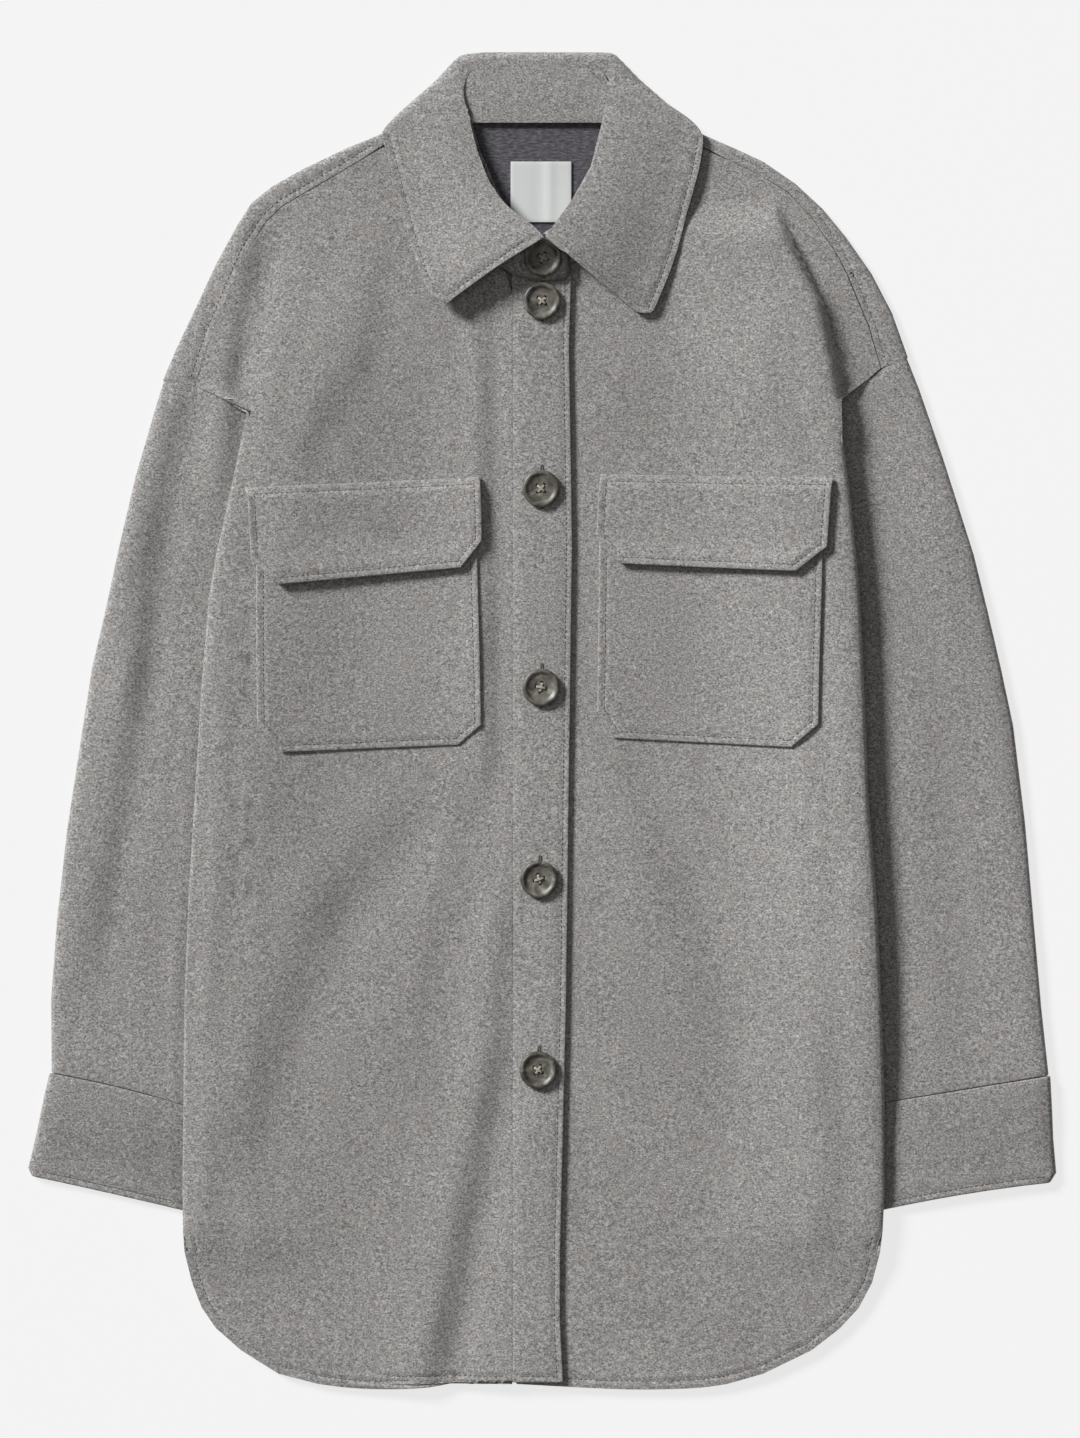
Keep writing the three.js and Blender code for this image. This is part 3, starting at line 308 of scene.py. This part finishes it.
def waveHeight(table, x, y):
    total = 0.0
    for wave in table:
        ax, ay = wave["from"]
        dx, dy = wave["to"][0] - ax, wave["to"][1] - ay
        length = math.hypot(dx, dy)
        t = ((x - ax) * dx + (y - ay) * dy) / length ** 2
        if t < -0.35 or t > 1.35:
            continue
        across = (-(x - ax) * dy + (y - ay) * dx) / length / wave["width"]
        ends = smooth(-0.35, 0.15, t) * (1 - smooth(0.85, 1.35, t))
        total -= wave["fall"] * ends * across * math.exp(-across * across)
    return total


def clothHeight(x, y):
    slow = noise.noise(Vector((x / 90, y / 125, 3.1)))
    quick = noise.noise(Vector((x / 33, y / 44, 8.7)))
    height = lie["base"] + lie["slow"] * slow + lie["quick"] * quick + waveHeight(waves, x, y)
    return max(lie["lowest"], height)


# The collar's leaves stand off the fronts, highest along the front edge of the wearer's right leaf
leafLift = {"front": 8.5, "tip": 9.5, "spread": 40, "outer": 2.4, "other": 0.7, "otherOuter": 0.5}
leafPlace = {"foldTop": 388, "foldLow": 340, "inner": 25, "outer": 85, "point": (-4, 304), "tip": (-8, -50)}


def leafRise(x, y):
    fade = smooth(leafPlace["foldTop"], leafPlace["foldLow"], y)
    outward = smooth(leafPlace["inner"], leafPlace["outer"], abs(x))
    if x > 0:
        return (leafLift["other"] + (leafLift["otherOuter"] - leafLift["other"]) * outward) * fade
    pointX, pointY = leafPlace["point"]
    fromEdge = (x - pointX) * -0.61 + (y - pointY) * 0.79  # distance from the front edge's line
    front = math.exp(-(max(0.0, fromEdge) / leafLift["spread"]) ** 2)
    frontLift = leafLift["front"] + (leafLift["tip"] - leafLift["front"]) * smooth(*leafPlace["tip"], x)
    return (leafLift["outer"] * outward + (frontLift - leafLift["outer"]) * front) * fade


# Each kind of piece adds its own height to the lie of the cloth
def bodyHeight(x, y):
    return clothHeight(x, y) + archHeight(x, y)


def pocketHeight(x, y):
    return bodyHeight(x, y) - 0.5  # pressed into the front


def flapHeight(x, y):
    return bodyHeight(x, y) + 1.3 * smooth(116, 96, y)


def collarHeight(x, y):
    return clothHeight(x, y) + leafRise(x, y)


def cuffHeight(x, y):
    return clothHeight(x, y) + waveHeight(cuffWaves, x, y)


def placketHeight(x, y):
    return clothHeight(x, y) - 0.45 * smooth(-9, -19, x)


def labelHeight(x, y):
    # woven tape with a soft upright crease, and a shallow dip beside it
    crease = 0.5 * math.exp(-((x - 5) / 2.2) ** 2)
    dip = 0.25 * math.exp(-((x + 2) / 4) ** 2)
    return clothHeight(x, y) + crease - dip


# Small shifts that close a seam's gap: pieces grow towards their neighbour near the seam
def standShift(x, y):
    away = Vector((x + 3, y - 352))
    return away.normalized() * 2.8 * smooth(384, 400, y)


def liningShift(x, y):
    return Vector((0, 3)) * smooth(360, 376, y)  # up behind the stand


def leafShift(x, y):
    # the wearer's right leaf reaches over the middle of the front
    near = math.exp(-(math.hypot(x + 4, y - 304) / 20) ** 2)
    return Vector((6.5, 1.8)) * near * smooth(1.5, -2, x)


# Armhole seams: the height of their outer end, where it lies on each side, and how steeply they fall inwards
armholeSeam = {"top": 231, "left": 233, "right": -240, "slope": 0.55, "reach": 2.6, "innerReach": 8}


def capShift(x, y):
    # the sleeve's head slips under the armhole seam, further at the inner end on the wearer's left
    side, outer = (1, armholeSeam["left"]) if x > 0 else (-1, armholeSeam["right"])
    seam = armholeSeam["top"] - armholeSeam["slope"] * abs(x - outer)
    reach = armholeSeam["reach"]
    if x > 0:
        reach += armholeSeam["innerReach"] * smooth(208, 194, x)
    return Vector((-side * 0.35, 0.95)) * reach * smooth(seam - 24, seam - 4, y)


# Lines of stitches: distance inside the outline of the piece's upper face, and where along it
stitchPlan = {
    "collar": {"inset": 4.2, "where": lambda x, y: y < 372 and (y < 302 or abs(x) > 54)},
    "flap_right": {"inset": 4.2, "where": lambda x, y: True},
    "flap_left": {"inset": 4.2, "where": lambda x, y: True},
    "pocket_right": {"inset": 4.2, "where": lambda x, y: y < 106},
    "pocket_left": {"inset": 4.2, "where": lambda x, y: y < 106},
    "placket": {"inset": 3.8, "where": lambda x, y: x > 4 or y < -419},
    "front_right": {"inset": 5, "where": lambda x, y: y < -332 and x < -24},
    "front_left": {"inset": 5, "where": lambda x, y: y < -332 and x > 8},
    "yoke": {"inset": 4, "where": lambda x, y: abs(x) > 96, "beside": ("front_right", "front_left")},
    "cuff_right": {"inset": 4.2, "where": lambda x, y: y < -282 and -322 < x < -219},
    "cuff_left": {"inset": 4.2, "where": lambda x, y: y < -282 and 208 < x < 322},
    "collar_stand": {"inset": 3.0, "where": lambda x, y: y < 300 and x > -12},
}
stitch = {"pitch": 3.3, "length": 2.5, "width": 0.5, "groove": 0.3, "grooveWidth": 1.3, "puff": 0.16,
          "puffAt": 3, "puffWidth": 1.6, "pucker": 0.12, "puckerSize": 4.5, "puckerWidth": 3.5, "reach": 8}


def toMm(co):
    return (co.x - shiftX) / mm, (co.y - shiftY) / mm


# Outlines of the upper faces of a CAD node, in millimetres
def outlines(node):
    bm = bmesh.new()
    bm.from_mesh(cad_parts[node].data)
    bmesh.ops.remove_doubles(bm, verts=bm.verts, dist=1e-6)
    bm.normal_update()
    links = {}
    for edge in bm.edges:
        if sum(face.normal.z > 0.55 for face in edge.link_faces) == 1:
            a, b = edge.verts
            links.setdefault(a, []).append(b)
            links.setdefault(b, []).append(a)
    loops = []
    while links:
        start = next(iter(links))
        loop = [start]
        while links.get(loop[-1]):
            after = links[loop[-1]].pop()
            links[after].remove(loop[-1])
            loop.append(after)
        links = {vert: ends for vert, ends in links.items() if ends}
        points = [Vector(toMm(vert.co)) for vert in loop]
        if sum((b - a).length for a, b in zip(points, points[1:])) > 60:
            loops.append(points)
    bm.free()
    return loops


def evenly(points, pitch):
    # points at an even distance along a line
    made, carry = [], 0.0
    for a, b in zip(points, points[1:]):
        length = (b - a).length
        while carry <= length and length > 0:
            made.append(a.lerp(b, carry / length))
            carry += pitch
        carry -= length
    return made


def treeOf(points):
    tree = KDTree(len(points))
    for index, point in enumerate(points):
        tree.insert((point.x, point.y, 0), index)
    tree.balance()
    return tree


outlineOf = {node: outlines(node) for node in stitchPlan}


def stitchPath(node, pitch):
    # lists of (place, direction) for the stitches of a piece
    plan = stitchPlan[node]
    near = None
    if "beside" in plan:
        near = treeOf([p for other in plan["beside"] for loop in outlineOf[other] for p in evenly(loop, 2)])
    found = []
    for loop in outlineOf[node]:
        rim = evenly(loop, pitch)
        turn = sum(a.x * b.y - b.x * a.y for a, b in zip(rim, rim[1:] + rim[:1]))
        inward = 1 if turn > 0 else -1
        tree = treeOf(evenly(loop, 0.8))
        for before, here, after in zip(rim, rim[1:], rim[2:]):
            along = (after - before).normalized()
            place = here + Vector((-along.y, along.x)) * inward * plan["inset"]
            if not plan["where"](here.x, here.y):
                continue
            if near and near.find((here.x, here.y, 0))[2] > 2.5:
                continue
            if tree.find((place.x, place.y, 0))[2] > plan["inset"] - 0.35:
                found.append((place, along))
    return found


def pressStitches(bm, node):
    # finer cells along the stitched lines, then a groove with fuller cloth on each side
    path = [place for place, _ in stitchPath(node, 1.0)]
    if not path:
        return
    tree = treeOf(path)

    def away(co):
        x, y = toMm(co)
        return tree.find((x, y, 0))[2]

    for limit, band in ((2.6 * mm, 5.5), (1.3 * mm, 2.6)):
        edges = [e for e in bm.edges if e.calc_length() > limit and (e.verts[0].normal.z > 0.5)
                 and away((e.verts[0].co + e.verts[1].co) / 2) < band]
        bmesh.ops.subdivide_edges(bm, edges=edges, cuts=1, use_grid_fill=True)
    bmesh.ops.triangulate(bm, faces=[face for face in bm.faces if len(face.verts) > 4])
    bm.normal_update()
    for vert in bm.verts:
        if vert.normal.z < 0.5:
            continue
        distance = away(vert.co)
        if distance > stitch["reach"]:
            continue
        x, y = toMm(vert.co)
        uneven = noise.noise(Vector((x / stitch["puckerSize"], y / stitch["puckerSize"], 1.7)))
        pucker = stitch["pucker"] * uneven * math.exp(-(distance / stitch["puckerWidth"]) ** 2)
        groove = stitch["groove"] * math.exp(-(distance / stitch["grooveWidth"]) ** 2)
        puff = stitch["puff"] * math.exp(-((distance - stitch["puffAt"]) / stitch["puffWidth"]) ** 2)
        vert.co.z += (puff - groove + pucker) * mm


def sewStitches(piece, node):
    # one thread capsule to a stitch, laid in the groove
    points = [vert.co for vert in piece.data.vertices]
    tree = BVHTree.FromPolygons(points, [polygon.vertices for polygon in piece.data.polygons])
    bm = bmesh.new()
    for place, along in stitchPath(node, stitch["pitch"]):
        x, y = place.x * mm + shiftX, place.y * mm + shiftY
        hit, normal, _, _ = tree.ray_cast(Vector((x, y, 0.08)), Vector((0, 0, -1)))
        if hit is None or normal.z < 0.4:
            continue
        forward = Vector((along.x, along.y, 0))
        forward = (forward - normal * forward.dot(normal)).normalized()
        axes = Matrix((forward, normal.cross(forward), normal)).transposed().to_4x4()
        half, thin = stitch["length"] / 2 * mm, stitch["width"] / 2 * mm
        size = Matrix.Diagonal((half, thin, thin, 1))
        spot = Matrix.Translation(hit + normal * 0.08 * mm)
        bmesh.ops.create_uvsphere(bm, u_segments=6, v_segments=4, radius=1, matrix=spot @ axes @ size)
    for face in bm.faces:
        face.smooth = True
    if not bm.verts:
        bm.free()
        return None
    name = "stitches_" + node
    mesh = bpy.data.meshes.new(name)
    bm.to_mesh(mesh)
    bm.free()
    mesh.materials.append(seamThreadWithPaintedShade)
    sewn = bpy.data.objects.new(name, mesh)
    bpy.context.scene.collection.objects.link(sewn)
    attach(sewn, "root")
    return sewn


# Cloth pieces: a refined copy of each solid, with soft edges and the lie of the cloth
def refinedCopy(node, name, cell, bevel, relax, roundOff):
    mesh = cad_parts[node].data.copy()
    mesh.name = name
    bm = bmesh.new()
    bm.from_mesh(mesh)
    bmesh.ops.remove_doubles(bm, verts=bm.verts, dist=1e-6)
    bmesh.ops.join_triangles(bm, faces=bm.faces, angle_face_threshold=math.radians(30),
                             angle_shape_threshold=math.radians(180))
    for _ in range(5):
        longEdges = [e for e in bm.edges if e.calc_length() > cell * 1.45]
        if not longEdges:
            break
        bmesh.ops.subdivide_edges(bm, edges=longEdges, cuts=1, use_grid_fill=True)
    bmesh.ops.recalc_face_normals(bm, faces=bm.faces)
    rims = [e for e in bm.edges if len(e.link_faces) == 2 and e.calc_face_angle() > math.radians(48)]
    rimVerts = {v for e in rims for v in e.verts}
    for _ in range(roundOff):
        bmesh.ops.smooth_vert(bm, verts=bm.verts, factor=0.5, use_axis_x=True, use_axis_y=True,
                              use_axis_z=False)
    inner = [v for v in bm.verts if v not in rimVerts]
    for _ in range(relax):
        bmesh.ops.smooth_vert(bm, verts=inner, factor=0.5, use_axis_x=False, use_axis_y=False,
                              use_axis_z=True)
    bmesh.ops.bevel(bm, geom=rims, offset=bevel, segments=2, profile=0.5, affect="EDGES",
                    offset_type="OFFSET", clamp_overlap=True, material=-1)
    bm.normal_update()
    return bm, mesh


def clothPiece(node, plan):
    material, slot, heightOf = plan["material"], plan["slot"], plan["height"]
    name = node + "_cloth"
    bm, mesh = refinedCopy(node, name, plan["cell"] * mm, plan["bevel"] * mm, plan["relax"], plan["roundOff"])
    if node in stitchPlan:
        pressStitches(bm, node)
    for v in bm.verts:
        x, y = toMm(v.co)
        above = smooth(0.2, 2.6, v.co.z / mm)  # what rests on the floor stays flat
        v.co.z += heightOf(x, y) * mm * above
        v.co.xy += v.normal.xy * plan["grow"] * mm  # closes the seams
        if "shift" in plan:
            v.co.xy += plan["shift"](x, y) * mm
    for face in bm.faces:
        face.smooth = True
    bm.to_mesh(mesh)
    bm.free()
    piece = bpy.data.objects.new(name, mesh)
    bpy.context.scene.collection.objects.link(piece)
    mesh.materials.clear()
    mesh.materials.append(material)
    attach(piece, "root")
    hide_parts(node)
    sewn = sewStitches(piece, node) if node in stitchPlan else None
    halfArea = sum(face.area for face in mesh.polygons) / 2
    print("cloth", name, len(mesh.polygons), "faces,", round(halfArea, 4), "square metres")


# Each cut piece: how it lies, on what, and its flat cut, width by length in metres, with its area
plainCut = {"cell": 5.0, "bevel": 0.7, "relax": 3, "roundOff": 0, "grow": 0.2}  # in millimetres, and rounds
wool = {**plainCut, "material": woolCloth, "slot": "wool", "height": bodyHeight}
front = {**wool, "cell": 4.0, "relax": 12, "grow": 0.4, "bevel": 0.5, "held": "laid", "on": ["back"]}
sleeve = {**wool, "height": clothHeight, "shift": capShift, "held": "folded", "on": []}
cuff = {**wool, "material": cuffClothPaintedShade, "height": cuffHeight, "held": "folded"}
pocket = {**wool, "height": pocketHeight, "cell": 4.0, "bevel": 0.5, "held": "laid"}
flap = {**wool, "height": flapHeight, "cell": 4.0, "bevel": 0.5, "held": "laid"}
clothPlan = {
    "back": {**wool, "relax": 8, "held": "laid", "on": ["sleeve_right", "sleeve_left"],
             "flat": (0.46, 0.66), "area": 0.28},
    "yoke": {**wool, "height": clothHeight, "grow": 0.45, "bevel": 0.4, "held": "folded", "on": ["back"],
             "flat": (0.51, 0.2), "area": 0.066},
    "front_left": {**front, "flat": (0.24, 0.8), "area": 0.168},
    "front_right": {**front, "flat": (0.22, 0.8), "area": 0.152},
    "placket": {**wool, "height": placketHeight, "bevel": 0.5, "held": "laid", "on": ["front_right"],
                "flat": (0.037, 0.72), "area": 0.026},
    "sleeve_right": {**sleeve, "flat": (0.2, 0.46), "area": 0.08},
    "sleeve_left": {**sleeve, "flat": (0.2, 0.48), "area": 0.09},
    "cuff_right": {**cuff, "on": ["sleeve_right"], "flat": (0.24, 0.075), "area": 0.015},
    "cuff_left": {**cuff, "on": ["sleeve_left"], "flat": (0.25, 0.075), "area": 0.016},
    "pocket_right": {**pocket, "on": ["front_right"], "flat": (0.144, 0.165), "area": 0.0225},
    "pocket_left": {**pocket, "on": ["front_left"], "flat": (0.142, 0.165), "area": 0.0225},
    "flap_right": {**flap, "on": ["pocket_right"], "flat": (0.15, 0.068), "area": 0.0085},
    "flap_left": {**flap, "on": ["pocket_left"], "flat": (0.147, 0.062), "area": 0.0082},
    "collar_stand": {**wool, "cell": 4.0, "bevel": 0.5, "height": clothHeight, "shift": standShift,
                     "held": "folded", "on": ["collar"], "flat": (0.36, 0.04), "area": 0.011},
    "collar": {**wool, "cell": 4.0, "roundOff": 2, "height": collarHeight, "shift": leafShift,
               "held": "folded", "on": ["front_right", "front_left"], "flat": (0.44, 0.09), "area": 0.025},
    "yoke_lining": {**plainCut, "material": darkCloth, "slot": "dark_cloth", "height": clothHeight,
                    "shift": liningShift, "bevel": 0.3, "held": "laid", "on": ["yoke"],
                    "flat": (0.135, 0.082), "area": 0.0095},
    "label": {**plainCut, "material": whiteTape, "slot": "white_tape", "height": labelHeight, "cell": 2.0,
              "bevel": 0.2, "held": "laid", "on": ["yoke_lining"], "flat": (0.039, 0.04), "area": 0.0015},
}
for node, plan in clothPlan.items():
    clothPiece(node, plan)


# Buttons: turned discs with a raised rim, a dished middle, four holes and a cross of thread
buttonLook = {"holeRadius": 1.05, "holePlace": 2.2, "segments": 48}
# half section by radius and height: underside, rim, and down into the dish
buttonProfile = [(0, 0.15), (8.6, 0), (10.8, 0.55), (11.8, 1.5), (12, 2.3), (11.6, 3.1), (10.8, 3.55),
                 (9.9, 3.6), (9.2, 3.2), (8.6, 2.55), (7.4, 2.15), (4.4, 1.9), (0, 1.85)]


def spunButton():
    bm = bmesh.new()
    verts = [bm.verts.new((r * mm, 0, z * mm)) for r, z in buttonProfile]
    edges = [bm.edges.new(pair) for pair in zip(verts, verts[1:])]
    bmesh.ops.spin(bm, geom=verts + edges, cent=(0, 0, 0), axis=(0, 0, 1), angle=math.tau,
                   steps=buttonLook["segments"], use_merge=True)
    bmesh.ops.remove_doubles(bm, verts=bm.verts, dist=1e-6)
    bmesh.ops.recalc_face_normals(bm, faces=bm.faces)
    return bm


def meshOf(bm, name):
    mesh = bpy.data.meshes.new(name)
    bm.to_mesh(mesh)
    bm.free()
    return mesh


def holeTool():
    bm = bmesh.new()
    place = buttonLook["holePlace"] * mm
    for sx, sy in ((-1, -1), (1, -1), (1, 1), (-1, 1)):
        spot = Matrix.Translation((sx * place, sy * place, 0.0018))
        bmesh.ops.create_cone(bm, cap_ends=True, segments=16, radius1=buttonLook["holeRadius"] * mm,
                              radius2=buttonLook["holeRadius"] * mm, depth=0.006, matrix=spot)
    return bpy.data.objects.new("holeTool", meshOf(bm, "holeTool"))


def drilledButton():
    disc = bpy.data.objects.new("buttonBlank", meshOf(spunButton(), "buttonBlank"))
    tool = holeTool()
    for item in (disc, tool):
        bpy.context.scene.collection.objects.link(item)
    cut = disc.modifiers.new("holes", "BOOLEAN")
    cut.operation, cut.object, cut.solver = "DIFFERENCE", tool, "EXACT"
    drilled = bpy.data.meshes.new_from_object(disc.evaluated_get(bpy.context.evaluated_depsgraph_get()))
    for item in (disc, tool):
        bpy.data.objects.remove(item)
    return drilled


threadLook = {"radius": 0.36, "beside": 0.33, "low": 2.0, "over": 0.5, "bow": 0.55, "sink": 1.9,
              "sinkFrom": 0.86, "steps": 12}


def threadLoops():
    # strands from hole to hole across the middle, sunk into the holes at their ends
    bm = bmesh.new()
    place = buttonLook["holePlace"]
    for number, (start, end) in enumerate((((-1, -1), (1, 1)), ((1, -1), (-1, 1)))):
        for offset in (-threadLook["beside"], threadLook["beside"]):
            a, b = Vector(start) * place, Vector(end) * place
            side = Vector((-(b - a).y, (b - a).x)).normalized() * offset
            points = []
            for step in range(threadLook["steps"] + 1):
                t = step / threadLook["steps"]
                sunk = max(0, abs(t - 0.5) * 2 - threadLook["sinkFrom"]) / (1 - threadLook["sinkFrom"])
                bow = threadLook["bow"] * math.sin(math.pi * t)
                arc = threadLook["low"] + threadLook["over"] * number + bow
                points.append(Vector((*(a.lerp(b, t) + side), arc - threadLook["sink"] * sunk)))
            tubeAlong(bm, points, threadLook["radius"])
    return bm


def tubeAlong(bm, points, radius, sides=7):
    rings = []
    for index, point in enumerate(points):
        ahead = (points[min(len(points) - 1, index + 1)] - points[max(0, index - 1)]).normalized()
        side = ahead.cross(Vector((0, 0, 1)))
        side = side.normalized() if side.length > 1e-6 else Vector((1, 0, 0))
        up = side.cross(ahead)
        ring = bmesh.ops.create_circle(bm, segments=sides, radius=radius * mm)["verts"]
        axes = Matrix((side, up, ahead)).transposed().to_4x4()
        bmesh.ops.transform(bm, matrix=Matrix.Translation(point * mm) @ axes, verts=ring)
        rings.append(ring)
    for first, second in zip(rings, rings[1:]):
        edges = {e for ring in (first, second) for v in ring for e in v.link_edges
                 if e.verts[0] in ring and e.verts[1] in ring}
        bmesh.ops.bridge_loops(bm, edges=list(edges))
    for ring in (rings[0], rings[-1]):
        edges = {e for v in ring for e in v.link_edges if e.verts[0] in ring and e.verts[1] in ring}
        bmesh.ops.contextual_create(bm, geom=list(edges))


def placedPiece(name, mesh, material, at, turn=0.0):
    mesh.transform(Matrix.Translation(at) @ Matrix.Rotation(math.radians(turn), 4, "Z"))
    mesh.materials.clear()
    mesh.materials.append(material)
    for polygon in mesh.polygons:
        polygon.use_smooth = True
    piece = bpy.data.objects.new(name, mesh)
    bpy.context.scene.collection.objects.link(piece)
    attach(piece, "root")
    return piece


buttonTurns = [20, 2, 4, 34, 62, 12]  # degrees that each button is turned by
buttonhole = {"length": 29, "wide": 0.85, "thread": 0.55, "ends": 1.2, "steps": 24, "sunk": 0.0002,
              "beside": (0.0004, 0.0012)}


def buttonholePath():
    # a long narrow oval, upright on the placket
    half, points = buttonhole["length"] / 2 - buttonhole["ends"], []
    for step in range(buttonhole["steps"] + 1):
        angle = math.tau * step / buttonhole["steps"]
        y = half * (1 if math.sin(angle) > 0 else -1) * min(1, abs(math.sin(angle)) * 1.6)
        points.append(Vector((buttonhole["wide"] * math.cos(angle), y + 0.6 * math.sin(angle), 0)))
    return points


def addButtons():
    blank = drilledButton()
    for number, turn in enumerate(buttonTurns, start=1):
        node = f"button_{number}"
        low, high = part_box(node)
        centre = Vector(((low.x + high.x) / 2, (low.y + high.y) / 2, low.z))
        x, y = toMm(centre)
        rest = clothHeight(x, y) * mm
        seat = centre + Vector((0, 0, rest))
        button = placedPiece(node + "_turned", blank.copy(), horn, seat, turn)
        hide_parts(node)
        strands = meshOf(threadLoops(), "thread_" + node)
        placedPiece("thread_" + node, strands, buttonThread, seat, turn)
        bm = bmesh.new()
        tubeAlong(bm, buttonholePath(), buttonhole["thread"])
        hole = meshOf(bm, "buttonhole_" + node)
        beside = centre + Vector((*buttonhole["beside"], rest - buttonhole["sunk"]))
        placedPiece("buttonhole_" + node, hole, seamThreadWithPaintedShade, beside)
    print("buttons ready")


addButtons()


# Floor and light
floorLook = {"half": 30, "grey": 0.14, "glow": 0.76}


def makeFloor():
    bm = bmesh.new()
    bmesh.ops.create_grid(bm, x_segments=1, y_segments=1, size=floorLook["half"])
    mesh = bpy.data.meshes.new("floor")
    bm.to_mesh(mesh)
    bm.free()
    floor = bpy.data.objects.new("floor", mesh)
    bpy.context.scene.collection.objects.link(floor)
    material, _, shader = newMaterial("paper", 0.9)
    shader.inputs["Base Color"].default_value = (*(floorLook["grey"],) * 3, 1)
    shader.inputs["Emission Color"].default_value = (1, 1, 1, 1)  # lit from within, as a light table
    shader.inputs["Emission Strength"].default_value = floorLook["glow"]
    mesh.materials.append(material)


keyLight = {"from": (-2.05, 1.65, 1.42), "angle": 16, "strength": 4.92}  # parallel, a little soft
topLight = {"at": (-0.3, 0.3, 3.2), "size": 2.4, "watts": 10}
room = {"colour": (1, 1, 1, 1), "strength": 0.12}


def addLight(name, kind, at):
    data = bpy.data.lights.new(name, kind)
    light = bpy.data.objects.new(name, data)
    light.location = at
    light.rotation_euler = (-Vector(at)).to_track_quat("-Z", "Y").to_euler()
    bpy.context.scene.collection.objects.link(light)
    return data


def makeLights():
    key = addLight("keyLight", "SUN", keyLight["from"])
    key.energy = keyLight["strength"]
    key.angle = math.radians(keyLight["angle"])
    top = addLight("topLight", "AREA", topLight["at"])
    top.size = topLight["size"]
    top.energy = topLight["watts"]
    world = bpy.data.worlds.new("softRoom")
    world.use_nodes = True
    background = world.node_tree.nodes["Background"]
    background.inputs["Color"].default_value = room["colour"]
    background.inputs["Strength"].default_value = room["strength"]
    bpy.context.scene.world = world


makeFloor()
makeLights()
